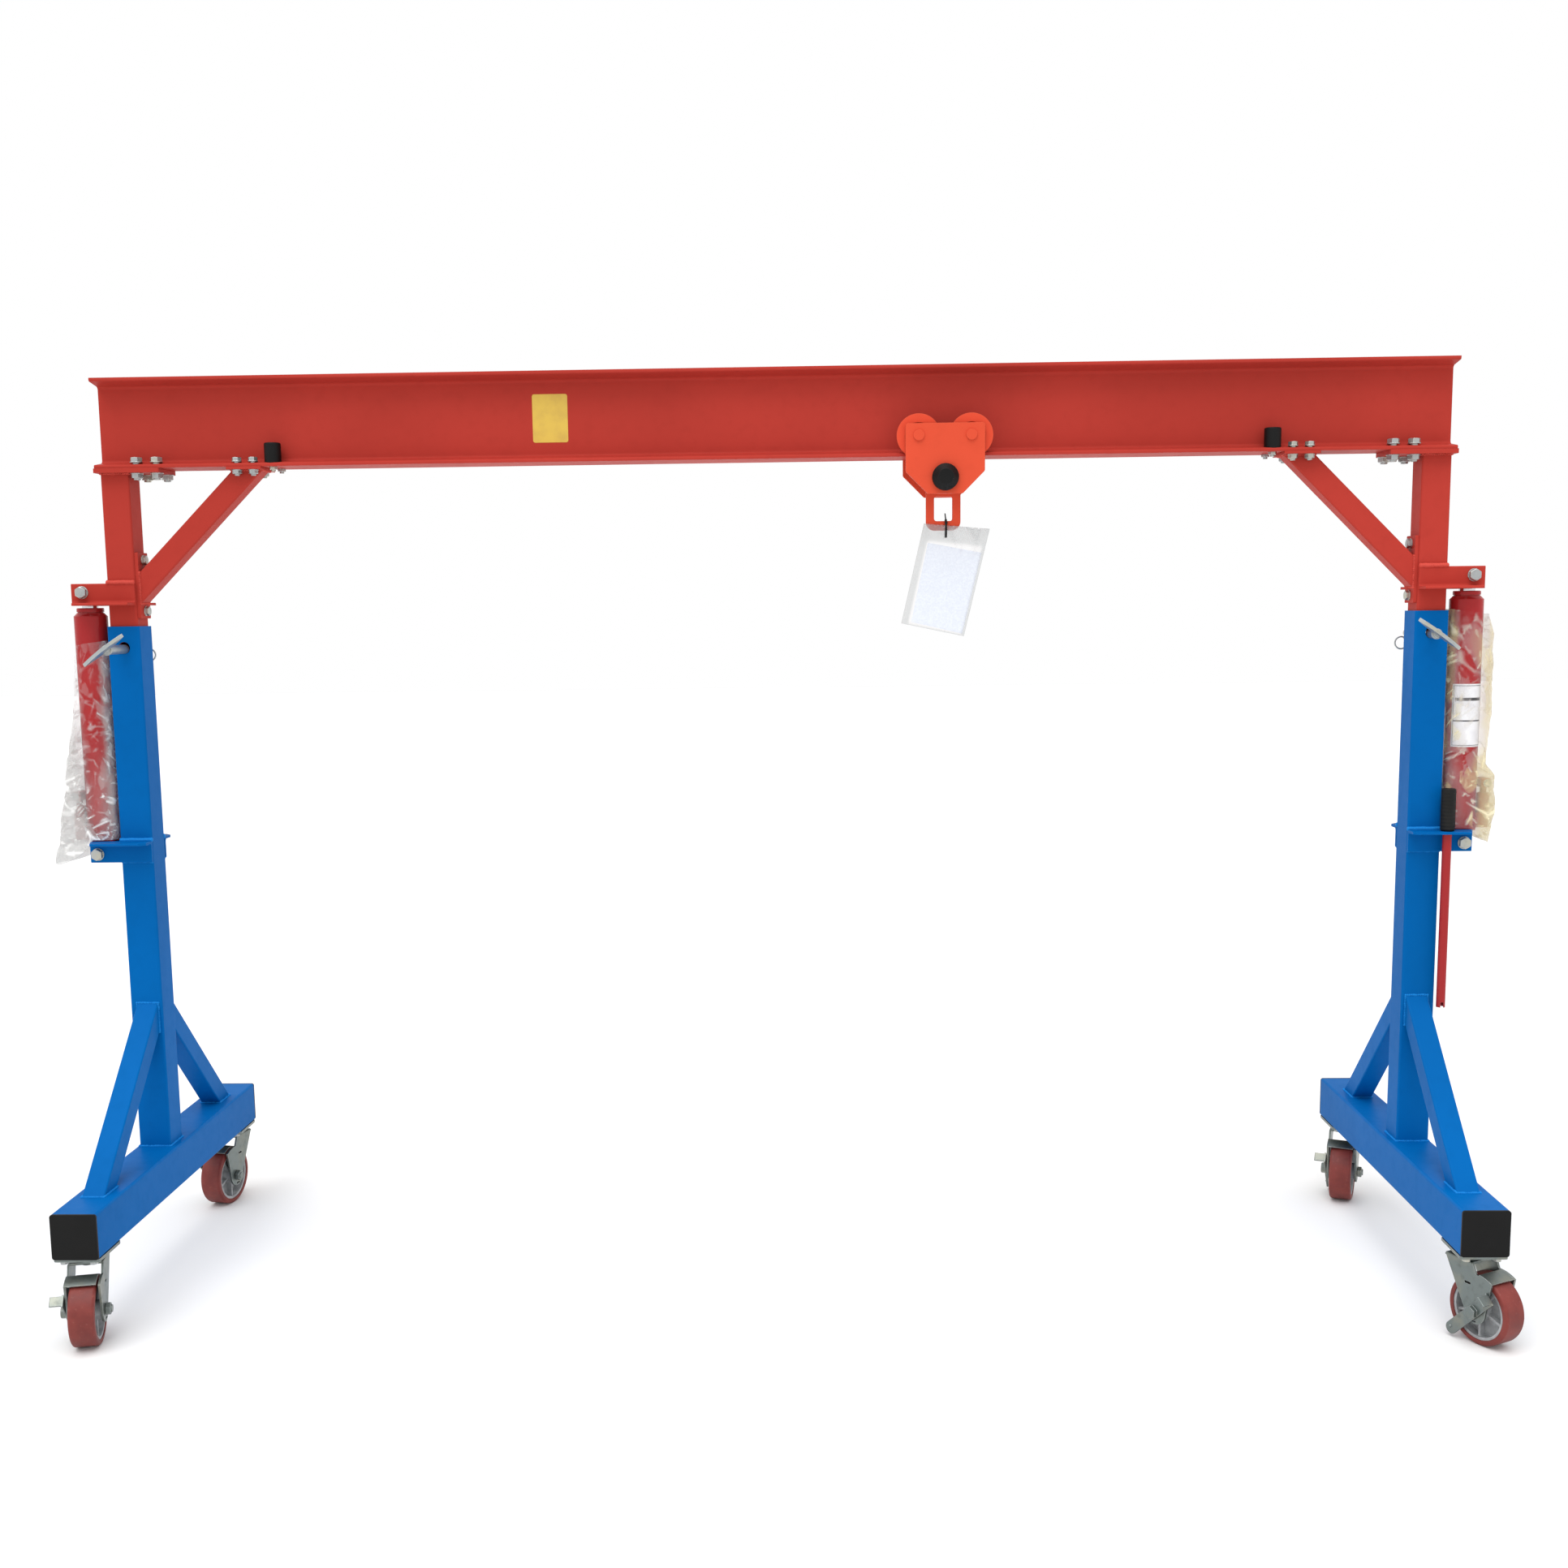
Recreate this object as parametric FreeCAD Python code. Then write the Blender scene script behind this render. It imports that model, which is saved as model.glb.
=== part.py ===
import FreeCAD, Part
import math
import os

from FreeCAD import Vector

# Mobile workshop gantry crane: an I-beam on two telescoping posts, each post on a castored foot,
# each foot with a long-ram hydraulic jack beside the post. Millimetres.
# X runs along the beam, Y runs across it (front is -Y), Z is up, and the floor is z = 0.
# Pieces are made about the plane of the posts, and export() sets them back from the origin, which
# lies on the floor under the middle of the whole crane: the casters trail forward.

# ---------------------------------------------------------------- driving sizes
# overall
beam_length = 3052.0
leg_spread = 2964.0            # between the centres of the two base tubes
base_length = 1000.0           # over both end caps
lift_travel = 450.0

# rolled I-beam with sloping flanges
beam_depth = 200.0
flange_width = 100.0
flange_toe = 7.5               # flange thickness at its edge
flange_slope = 1.0 / 6.0
web_thickness = 7.0
web_fillet = 8.0
flange_edge = 4.0              # rounding of the flanges' inner edges

# base tube and its caps
base_size = 100.0
base_wall = 4.0
base_corner = 6.0
cap_thickness = 5.0
cap_plug = 25.0

# posts: the inner one slides in the outer one
outer_size = 75.0
outer_wall = 3.5
outer_height = 1233.0
post_slide_gap = 1.5           # on each side of the inner post
inner_wall = 5.0
inner_showing = 345.0          # inner post above the outer one, lowered
inner_overlap = 200.0          # inner post still in the outer one, raised
post_corner = 5.0
post_offset = 6.0              # post centre outside the base tube's centre

# slanting struts from the post down to the base tube
strut_size = 50.0
strut_wall = 3.0
strut_foot = 392.0             # from the post's centre to the strut's outer toe
strut_head = 350.0             # from the base tube up to the strut's top edge
strut_offset = 3.0
bar_corner = 4.0               # rounding of the strut and brace tubes

# plates and braces under the beam
post_plate_thickness = 10.0
post_plate_length = 150.0
post_plate_over = 8.0          # past the inner post's outer face
plate_width = 104.0
brace_size = 50.0
brace_wall = 3.0
brace_drop = 268.0             # from the beam's underside down to the brace's centreline, at the post
brace_plate_thickness = 6.0
brace_plate_length = 80.0
brace_side_thickness = 8.0
brace_side_height = 150.0
brace_side_width = 56.0
brace_side_inset = 17.0        # bolts from the side plate's ends
brace_side_below = 0.463       # share of the side plate's height under the brace's centreline

# jack brackets, equal angles in front of and behind each post
angle_leg = 50.0
angle_thickness = 6.0
angle_root = 6.0               # rounding inside the angle, and of its legs' edges
angle_edge = 3.0
upper_bracket_reach = 81.5     # past the inner post's outer face
lower_bracket_reach = 69.5     # past the outer post's outer face
bracket_chamfer = 14.0
bracket_mitre = 18.0           # flat leg's free edge stops this far inside its outer end
bracket_pin_inset = 30.0       # bolt centre from the angle's flat leg
lower_bracket_below = 497.0    # flat leg's top below the outer post's top

# jack
jack_offset = 89.0             # jack axis outside the post's axis
jack_closed = 605.0            # between its two bolts
cylinder_radius = 37.0
cylinder_bore = 26.0
cylinder_foot_gap = 31.0       # cylinder's bottom above the lower bolt
cylinder_head_gap = 35.0       # cylinder's top below the upper bolt
gland_radius = 30.0            # screwed ring at the cylinder's head
gland_height = 12.0
gland_depth = 34.0             # of thread below it
cylinder_chamfer = 7.0
ram_radius = 18.0
ram_fit = 0.08
lug_width = 34.0
lug_radius = 19.0
pump_radius = 14.0
pump_height = 80.0
pump_offset = 55.0             # pump axis outside the jack axis
plunger_radius = 7.0
plunger_height = 103.0         # pivot of the plunger's yoke above the cylinder's bottom
yoke = (22.0, 36.0, 22.0)      # along X, Y and Z
pivot_radius = 10.0
pivot_length = 48.0
valve_radius = 5.0
valve_height = 17.0

# loose film bag round each jack
film_gap = 4.0                 # outside the cylinder
film_pump_radius = 30.0        # about the pump's axis
film_wall = 1.0
film_seat = 0.3                # above the lower angles
film_top = 60.0                # below the upper bolt

# fasteners: shank radius, width across flats, head height
m16 = (8.0, 24.0, 10.0)
m12 = (6.0, 19.0, 8.0)
m10 = (5.0, 16.0, 6.5)
hole_gap = 0.5                 # radial, round a bolt
washer_thickness = 2.0
head_chamfer = 0.94            # flats that a head's crown keeps
post_bolt_inset = 19.0         # nearer bolt from the inner post's face
post_bolt_pitch = 46.0
post_bolt_half = 30.0
brace_bolt_half = 38.0
brace_bolt_pitch = 37.0

# rubber stops for the trolley
stop_radius = 18.5
stop_height = 42.0
stop_inset = 22.0              # stop's centre beyond the brace plate's end

# height locking pin: the left one is drawn further out of its post
pin_radius = 10.5
pin_hole_radius = 13.5
pin_below_top = 49.0
pin_pitch = 75.0
pin_play = 0.05                # between the pin and the bottom of its hole
pin_past = 110.0               # pin's length from collar to tip, beyond the post's width
pin_out = {"left": 92.0, "right": 28.0}    # collar to the post's front face
pin_collar = (12.0, 5.0)       # radius and thickness
pin_neck = (8.0, 4.0)          # radius and length, between the collar and the handle
pin_handle = (114.0, 26.0, 7.5)            # length, depth and thickness of the handle plate
pin_handle_tilt = 36.0
clip_rod = 3.0
clip_radius = 14.0
clip_wire = 1.8
clip_inset = 7.0               # clip's rod from the pin's tip
clip_length = 34.0
clip_lean = {"left": 57.0, "right": 36.0}  # degrees from hanging straight down

# casters
caster_height = 196.0
wheel_radius = 75.0
wheel_width = 54.0
tread_thickness = 12.0
wheel_trail = 38.0
swivel_inset = 60.0            # swivel axis from the base tube's end
caster_plate = (115.0, 100.0, 6.0)
caster_holes = (84.0, 64.0)
race_radius = 27.0
race_height = 12.0             # between the plate and the fork's crown
kingpin_radius = 8.0
kingpin_fit = 0.08
fork_gap = 5.0                 # wheel face to fork leg
fork_thickness = 5.0
fork_crown_radius = 42.0       # back of the crown from the swivel axis
fork_crown_front = 28.0
fork_end_radius = 27.0         # round lower end of a leg, about the axle
fork_bend = 4.0
fork_slot = (16.0, 5.0)
axle_radius = 8.0
axle_fit = 0.06
hub_radius = 21.0
shoe_gap = 5.0
shoe_thickness = 3.0
shoe_start = 60.0              # degrees round the wheel, from straight ahead
shoe_end = 84.0
lever_width = 27.0
lever_thickness = 5.0
lever_back = 76.0              # lever's round end behind the axle
lever_front = 58.0             # lever's bent end ahead of the axle
lever_tab = 24.0
lever_tilt = 46.0
lever_edge = 1.5
# each caster's heading, degrees turned from straight across the beam
caster_heading = {
    "front_left": 13.0,
    "back_left": -11.0,
    "front_right": 28.3,
    "back_right": -22.6,
}

# trolley
trolley_x = 393.0
trolley_wheelbase = 117.0
trolley_wheel_tread = 34.0     # tread radius at the middle of its width
trolley_wheel_flange = 48.5
trolley_tread_width = 30.0
trolley_flange_gap = 3.0       # wheel flange to the beam's flange edge
trolley_flange_thickness = 6.0
rolling_gap = 0.3
trolley_plate_gap = 4.0        # wheel face to side plate
trolley_plate_thickness = 8.0
trolley_plate_width = 175.6
trolley_plate_above = 26.0     # above the wheel axles
trolley_plate_shoulder = 79.0  # below the wheel axles, where the sides turn in
trolley_plate_below = 128.0
trolley_plate_foot = 78.0
trolley_axle_radius = 9.0
trolley_axle_head = 12.0
shaft_radius = 12.5
shaft_below = 92.0             # hanger shaft below the wheel axles
shaft_fit = 0.08
cap_radius = 29.5
cap_face_radius = 17.0
cap_height = 26.0
hanger_width = 78.0
hanger_thickness = 12.0
hanger_drop = 114.0            # from the shaft down to the hanger's bottom
hanger_foot_radius = 20.0
slot_width = 41.6
slot_bottom = 93.0             # below the shaft
slot_top = 38.0
slot_corner = 6.0

# manual in its plastic pouch, tied to the hanger
pouch_width = 150.0
pouch_height = 236.0
pouch_thickness = 4.0
pouch_gap = 0.3                # pouch to hanger, and round the tie
pouch_eye = 5.0
pouch_tilt = 12.0
pouch_top_over = 16.0          # pouch's top edge above the tie
pouch_shift = 22.0
tie_shift = 6.0                # from the hanger's middle
tie_hang = 13.0                # tie's loop below the hanger
tie_width = 4.5
tie_thickness = 1.3

# jack handle stored in the right front lower bracket
handle_radius = 10.0
handle_length = 505.0
handle_wall = 2.0
handle_out = 46.0              # from the jack's axis back towards the post
handle_clear = 10.0            # handle tube to the bracket's upright leg
handle_hole_gap = 2.0
grip_radius = 15.8
grip_length = 97.0
grip_fit = 0.1
notch_depth = 12.0
notch_width = 7.0

# ---------------------------------------------------------------- derived places
base_top = caster_height + base_size
leg_x = leg_spread / 2
post_x = leg_x + post_offset
strut_x = leg_x + strut_offset
inner_size = outer_size - 2 * outer_wall - 2 * post_slide_gap
outer_top = base_top + outer_height
plate_bottom = outer_top + inner_showing
beam_bottom = plate_bottom + post_plate_thickness
inner_bottom = outer_top - lift_travel - inner_overlap
lower_bracket_top = outer_top - lower_bracket_below
lower_pin_z = lower_bracket_top - bracket_pin_inset
upper_pin_z = lower_pin_z + jack_closed
jack_x = post_x + jack_offset
lock_z = outer_top - pin_below_top
pin_length = outer_size + pin_past
swivel_y = base_length / 2 - swivel_inset
flange_root = flange_toe + (flange_width - web_thickness) / 2 * flange_slope
wheel_reach = swivel_y + wheel_trail + wheel_radius
post_plane_y = (wheel_reach - base_length / 2) / 2

os.makedirs("parts", exist_ok=True)


# ---------------------------------------------------------------- helpers
def box(x0, x1, y0, y1, z0, z1):
    low = Vector(min(x0, x1), min(y0, y1), min(z0, z1))
    return Part.makeBox(abs(x1 - x0), abs(y1 - y0), abs(z1 - z0), low)


def rod(start, end, radius):
    start = Vector(*start)
    along = Vector(*end) - start
    return Part.makeCylinder(radius, along.Length, start, along)


def prism(points, along):
    """A solid with a polygon of 3-D points as its base, pushed along a vector."""
    corners = [Vector(*p) for p in points]
    outline = Part.makePolygon(corners + corners[:1])
    return Part.Face(outline).extrude(Vector(*along))


def hexagon(start, along, flats, height):
    """A hexagonal head or nut that starts at a point and runs along a unit axis, its far end crowned."""
    axis = Vector(*along)
    side = Vector(0, 0, 1) if abs(axis.z) < 0.9 else Vector(1, 0, 0)
    other = axis.cross(side)
    centre = Vector(*start)
    reach = flats / math.sqrt(3)
    corners = []
    for step in range(6):
        angle = math.radians(60 * step)
        corners.append(centre + side * (reach * math.cos(angle)) + other * (reach * math.sin(angle)))
    head = Part.Face(Part.makePolygon(corners + corners[:1])).extrude(axis * height)
    crown = flats / 2 * head_chamfer
    drop = (reach - crown) / math.sqrt(3)
    cone = Part.makeCone(reach, crown, drop, centre + axis * (height - drop), axis)
    column = Part.makeCylinder(reach, height - drop, centre, axis)
    return head.common(column.fuse(cone))


def bolt(head_at, nut_at, size, tail=4.0):
    """A hexagon bolt with washers and nut: head_at and nut_at are the two faces that it clamps."""
    radius, flats, height = size
    start = Vector(*head_at)
    end = Vector(*nut_at)
    axis = (end - start).normalize()
    thick = washer_thickness
    length = (end - start).Length + 2 * thick + height + tail
    shank = Part.makeCylinder(radius, length, start - axis * thick, axis)
    shank = shank.makeChamfer(1.0, [e for e in shank.Edges if (e.CenterOfMass - end).dot(axis) > height])
    washers = [Part.makeCylinder(flats * 0.6, thick, start, -axis),
               Part.makeCylinder(flats * 0.6, thick, end, axis)]
    head = hexagon(start - axis * thick, -axis, flats, height)
    nut = hexagon(end + axis * thick, axis, flats, height)
    return shank.fuse(washers + [head, nut]).removeSplitter()


def round_edges(shape, radius, axis):
    """Round every straight edge that is parallel to an axis."""
    direction = Vector(*axis)
    edges = []
    for edge in shape.Edges:
        span = edge.Vertexes[-1].Point - edge.Vertexes[0].Point
        if span.Length > 0 and abs(abs(span.normalize().dot(direction)) - 1) < 1e-6:
            edges.append(edge)
    return shape.makeFillet(radius, edges)


def square_tube(x, y, z0, z1, size, wall, corner):
    """An upright square tube with rounded corners."""
    half = size / 2
    outside = round_edges(box(x - half, x + half, y - half, y + half, z0, z1), corner, (0, 0, 1))
    inside = half - wall
    hollow = box(x - inside, x + inside, y - inside, y + inside, z0 - 1, z1 + 1)
    if corner > wall:
        hollow = round_edges(hollow, corner - wall, (0, 0, 1))
    return outside.cut(hollow)


def export(name, *solids):
    shape = solids[0].copy() if len(solids) == 1 else Part.makeCompound(list(solids))
    shape.translate(Vector(0, post_plane_y, 0))
    shape.exportStep(os.path.join("parts", name + ".step"))


# ---------------------------------------------------------------- beam
def make_beam():
    half = flange_width / 2
    web = web_thickness / 2
    section = [
        (-half, 0), (half, 0), (half, flange_toe), (web, flange_root),
        (web, beam_depth - flange_root), (half, beam_depth - flange_toe), (half, beam_depth),
        (-half, beam_depth), (-half, beam_depth - flange_toe), (-web, beam_depth - flange_root),
        (-web, flange_root), (-half, flange_toe),
    ]
    start = -beam_length / 2
    solid = prism([(start, y, beam_bottom + z) for y, z in section], (beam_length, 0, 0))
    inner_edges = []
    for edge in solid.Edges:
        middle = edge.CenterOfMass
        deep = flange_root < middle.z - beam_bottom + 0.01 < beam_depth - flange_root + 0.02
        if abs(abs(middle.y) - web) < 0.01 and abs(middle.x) < 0.01 and deep:
            inner_edges.append(edge)
    solid = solid.makeFillet(web_fillet, inner_edges)
    toes = []
    for edge in solid.Edges:
        middle = edge.CenterOfMass
        inward = flange_toe - 0.01 < middle.z - beam_bottom < beam_depth - flange_toe + 0.01
        if abs(abs(middle.y) - half) < 0.01 and abs(middle.x) < 0.01 and inward:
            toes.append(edge)
    return solid.makeFillet(flange_edge, toes)


def flange_bolt_places():
    """The bolts that go down through the bottom flange, as (x, half spacing, size, plate thickness)."""
    face = post_x - inner_size / 2 - post_bolt_inset
    places = [(face, post_bolt_half, m16, post_plate_thickness)]
    places.append((face - post_bolt_pitch, post_bolt_half, m16, post_plate_thickness))
    for side in (-1, 1):
        along = brace_plate_x + side * brace_bolt_pitch / 2
        places.append((along, brace_bolt_half, m12, brace_plate_thickness))
    return places


def flange_height(y, top_room=0.0):
    """The bottom flange's upper surface at a distance from the web."""
    return beam_bottom + flange_toe + (flange_width / 2 - abs(y)) * flange_slope + top_room


# brace geometry: the centreline falls at 45 degrees from the beam to the post
brace_face_x = post_x - inner_size / 2 - brace_side_thickness
brace_low_z = beam_bottom - brace_drop
brace_top_z = beam_bottom - brace_plate_thickness
brace_plate_x = brace_face_x - (brace_top_z - brace_low_z)
stop_x = brace_plate_x - brace_plate_length / 2 - stop_inset

beam = make_beam()
frame_bolts = []
flange_holes = []
for side in (-1, 1):
    for along, half, size, thickness in flange_bolt_places():
        for y in (-half, half):
            x = side * along
            seat = flange_height(abs(y) - size[1] / 2 / math.cos(math.radians(30)))
            below = beam_bottom - thickness
            flange_holes.append(rod((x, y, below - 1), (x, y, seat), size[0] + hole_gap))
            frame_bolts.append(bolt((x, y, seat), (x, y, below), size))
    for y in (-post_bolt_half, post_bolt_half):
        x = side * stop_x
        flange_holes.append(rod((x, y, beam_bottom - 1), (x, y, flange_height(0)), m10[0] + hole_gap))
beam = beam.cut(flange_holes)

# rubber stops sit on the sloping flange, each on a bolt with its nut below
stops = []
for side in (-1, 1):
    for y in (-post_bolt_half, post_bolt_half):
        x = side * stop_x
        foot = beam_bottom + flange_toe
        top = flange_height(y) + stop_height
        stop = rod((x, y, foot), (x, y, top), stop_radius)
        stop = stop.makeFillet(3.0, [e for e in stop.Edges if e.CenterOfMass.z > top - 0.1])
        stop = stop.cut(beam)
        stud = rod((x, y, beam_bottom), (x, y, top - 8), m10[0] + hole_gap)
        stops.append(max(stop.cut(stud).Solids, key=lambda s: s.Volume))
        stem = rod((x, y, beam_bottom - m10[2] - 4), (x, y, top - 8.5), m10[0])
        nut = hexagon((x, y, beam_bottom), (0, 0, -1), m10[1], m10[2])
        frame_bolts.append(stem.fuse(nut).removeSplitter())

export("beam", beam)
export("trolley_stops", *stops)


# ---------------------------------------------------------------- upper frame on each side
def flange_plates(s):
    """Plate on the post, plate on the brace's top and plate on its lower end."""
    outer = post_x + inner_size / 2 + post_plate_over
    half = plate_width / 2
    on_post = box(s * outer, s * (outer - post_plate_length), -half, half, plate_bottom, beam_bottom)
    low = brace_plate_x - brace_plate_length / 2
    on_brace = box(s * low, s * (low + brace_plate_length), -half, half, brace_top_z, beam_bottom)
    on_side = box(s * brace_face_x, s * (brace_face_x + brace_side_thickness),
                  -brace_side_width / 2, brace_side_width / 2,
                  brace_low_z - brace_side_height * brace_side_below,
                  brace_low_z + brace_side_height * (1 - brace_side_below))
    plates = [round_edges(on_post, 3.0, (0, 0, 1)), round_edges(on_brace, 3.0, (0, 0, 1)),
              round_edges(on_side, 3.0, (1, 0, 0))]
    cuts = []
    for along, bolt_half, size, thickness in flange_bolt_places():
        for y in (-bolt_half, bolt_half):
            cuts.append(rod((s * along, y, beam_bottom - 60), (s * along, y, beam_bottom + 1),
                            size[0] + hole_gap))
    for z in side_bolt_heights():
        cuts.append(rod((s * (brace_face_x - 1), 0, z), (s * (brace_face_x + 12), 0, z),
                        m12[0] + hole_gap))
    return [plate.cut(cuts) for plate in plates]


def side_bolt_heights():
    low = brace_low_z - brace_side_height * brace_side_below
    return (low + brace_side_inset, low + brace_side_height - brace_side_inset)


def make_inner_post(s):
    """Square tube with a row of cross holes for the locking pin."""
    tube = square_tube(s * post_x, 0, inner_bottom, plate_bottom, inner_size, inner_wall, post_corner)
    steps = int(lift_travel // pin_pitch) + 1
    cuts = []
    for step in range(steps):
        z = lock_z - step * pin_pitch
        cuts.append(rod((s * post_x, -inner_size, z), (s * post_x, inner_size, z), pin_hole_radius))
    for z in side_bolt_heights():
        face = post_x - inner_size / 2
        cuts.append(rod((s * (face - 1), 0, z), (s * (face + inner_wall + 1), 0, z), m12[0] + hole_gap))
    return tube.cut(cuts)


def make_brace(s):
    """Square tube at 45 degrees, cut flat against the beam plate and the side plate."""
    slant = brace_size * math.sqrt(2)
    reach = brace_top_z - brace_low_z

    def bar(size):
        half = size / math.sqrt(2)
        past = slant
        upper = (brace_plate_x - past, brace_top_z + past)
        lower = (brace_face_x + past, brace_low_z - past)
        outline = [(s * (upper[0] - half), -size / 2, upper[1]),
                   (s * (lower[0] - half), -size / 2, lower[1]),
                   (s * (lower[0] + half), -size / 2, lower[1]),
                   (s * (upper[0] + half), -size / 2, upper[1])]
        return prism(outline, (0, size, 0))

    slope = (s * math.sqrt(0.5), 0, -math.sqrt(0.5))
    tube = round_edges(bar(brace_size), bar_corner, slope)
    tube = tube.cut(round_edges(bar(brace_size - 2 * brace_wall), bar_corner - brace_wall, slope))
    room = box(s * (brace_plate_x - slant), s * brace_face_x, -brace_size, brace_size,
               brace_low_z - reach, brace_top_z)
    return tube.common(room)


def angle_pair(s, x0, x1, face, flat_z, downward, hole_z):
    """An angle in front of the post and its twin behind: upright leg on the post, flat leg outwards.

    flat_z is the outer side of the flat leg; the upright leg runs down from it or up from it.
    """
    way = -1 if downward else 1
    pair = []
    for front in (-1, 1):
        upright = box(s * x0, s * x1, front * face, front * (face + angle_thickness),
                      flat_z, flat_z + way * angle_leg)
        near = front * face
        far = front * (face + angle_leg)
        cut = bracket_chamfer
        outline = [(s * x0, near), (s * x1, near), (s * (x1 - bracket_mitre), far)]
        if downward:
            outline += [(s * (x0 + cut), far), (s * x0, far - front * cut)]
        else:
            outline += [(s * x0, far)]
        flat = prism([(x, y, flat_z) for x, y in outline], (0, 0, way * angle_thickness))
        hole = rod((s * jack_x, front * (face - 1), hole_z),
                   (s * jack_x, front * (face + angle_thickness + 1), hole_z), m16[0] + hole_gap)
        angle = round_angle(upright.fuse(flat).removeSplitter(), front * face, flat_z, way)
        pair.append(angle.cut(hole))
    return pair


def round_angle(angle, face, flat_z, way):
    """Round an angle's root and its legs' inner edges, which run along X."""
    front = math.copysign(1, face)
    root, toes = [], []
    for edge in angle.Edges:
        middle = edge.CenterOfMass
        span = edge.Vertexes[-1].Point - edge.Vertexes[0].Point
        if abs(span.x) < 10 or abs(span.x) < span.Length - 0.01:
            continue
        deep = abs(middle.y - face - front * angle_thickness) < 0.01
        low = abs(middle.z - flat_z - way * angle_thickness) < 0.01
        if deep and low:
            root.append(edge)
        elif deep and abs(middle.z - flat_z - way * angle_leg) < 0.01:
            toes.append(edge)
        elif low and abs(middle.y - face - front * angle_leg) < 0.01:
            toes.append(edge)
    return angle.makeFillet(angle_root, root).makeFillet(angle_edge, toes)


def make_ram(s):
    """Jack ram: a plain bar with a cross-drilled head between the upper angles."""
    low = lower_pin_z + cylinder_foot_gap + 22
    bar = rod((s * jack_x, 0, low), (s * jack_x, 0, upper_pin_z), ram_radius)
    half = inner_size / 2 - 2
    head = rod((s * jack_x, -half, upper_pin_z), (s * jack_x, half, upper_pin_z), lug_radius)
    hole = rod((s * jack_x, -half - 1, upper_pin_z), (s * jack_x, half + 1, upper_pin_z),
               m16[0] + hole_gap)
    return bar.fuse(head).removeSplitter().cut(hole)


def long_bolt(s, face, z):
    reach = face + angle_thickness
    return bolt((s * jack_x, -reach, z), (s * jack_x, reach, z), m16)


for name, s in (("left", -1), ("right", 1)):
    inner_half = inner_size / 2
    export(name + "_inner_post", make_inner_post(s))
    export(name + "_flange_plates", *flange_plates(s))
    export(name + "_brace", make_brace(s))
    upper = angle_pair(s, post_x - inner_half, post_x + inner_half + upper_bracket_reach, inner_half,
                       upper_pin_z - bracket_pin_inset, False, upper_pin_z)
    export(name + "_upper_brackets", *upper)
    export(name + "_jack_ram", make_ram(s))
    frame_bolts.append(long_bolt(s, inner_half, upper_pin_z))
    for z in side_bolt_heights():
        face = post_x - inner_half
        frame_bolts.append(bolt((s * brace_face_x, 0, z), (s * (face + inner_wall), 0, z), m12))
export("frame_bolts", *frame_bolts)


# ---------------------------------------------------------------- legs
def make_base_tube(s):
    tube_end = base_length / 2 - cap_thickness
    half = base_size / 2
    middle = caster_height + half
    outside = box(s * leg_x - half, s * leg_x + half, -tube_end, tube_end, caster_height, base_top)
    outside = round_edges(outside, base_corner, (0, 1, 0))
    inside = half - base_wall
    hollow = box(s * leg_x - inside, s * leg_x + inside, -tube_end - 1, tube_end + 1,
                 middle - inside, middle + inside)
    hollow = round_edges(hollow, base_corner - base_wall, (0, 1, 0))
    holes = []
    for x, y in caster_bolt_places(s):
        holes.append(rod((x, y, caster_height - 1), (x, y, caster_height + base_wall + 1),
                         m10[0] + hole_gap))
    return outside.cut(hollow).cut(holes)


def make_end_caps(s):
    caps = []
    half = base_size / 2
    inside = half - base_wall - 0.3
    middle = caster_height + half
    for end in (-1, 1):
        outer = end * base_length / 2
        inner = end * (base_length / 2 - cap_thickness)
        face = box(s * leg_x - half, s * leg_x + half, outer, inner, caster_height, base_top)
        face = round_edges(face, base_corner, (0, 1, 0))
        plug = box(s * leg_x - inside, s * leg_x + inside, inner, inner - end * cap_plug,
                   middle - inside, middle + inside)
        plug = round_edges(plug, base_corner - base_wall, (0, 1, 0))
        room = inside - 3
        pocket = box(s * leg_x - room, s * leg_x + room, inner, inner - end * (cap_plug + 1),
                     middle - base_size, middle + room)
        caps.append(face.fuse(plug.cut(pocket)).removeSplitter())
    return caps


def make_outer_post(s):
    tube = square_tube(s * post_x, 0, base_top, outer_top, outer_size, outer_wall, post_corner)
    pin_hole = rod((s * post_x, -outer_size, lock_z), (s * post_x, outer_size, lock_z), pin_hole_radius)
    return tube.cut(pin_hole)


def make_struts(s):
    """Two square tubes that slope from the post down to the base tube, welded at both ends."""
    pair = []
    rise = strut_head
    run = strut_foot - outer_size / 2
    slope = math.atan2(rise, run)
    across = strut_size / math.sin(slope)
    for front in (-1, 1):
        def bar(inset):
            half = strut_size / 2 - inset
            shift = inset / math.sin(slope)
            toe = strut_foot - shift
            heel = strut_foot - across + shift
            extra = 100.0 / math.tan(slope)
            outline = [(toe + extra, base_top - 100), (heel + extra, base_top - 100),
                       (heel - (rise + 200) / math.tan(slope), base_top + rise + 200),
                       (toe - (rise + 200) / math.tan(slope), base_top + rise + 200)]
            corners = [(s * strut_x - half, front * y, z) for y, z in outline]
            return prism(corners, (2 * half, 0, 0))

        lean = (0, -front * math.cos(slope), math.sin(slope))
        tube = round_edges(bar(0), bar_corner, lean)
        tube = tube.cut(round_edges(bar(strut_wall), bar_corner - strut_wall, lean))
        room = box(s * strut_x - strut_size, s * strut_x + strut_size,
                   front * outer_size / 2, front * (strut_foot + 50), base_top, base_top + rise + 50)
        pair.append(tube.common(room))
    return pair


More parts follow.
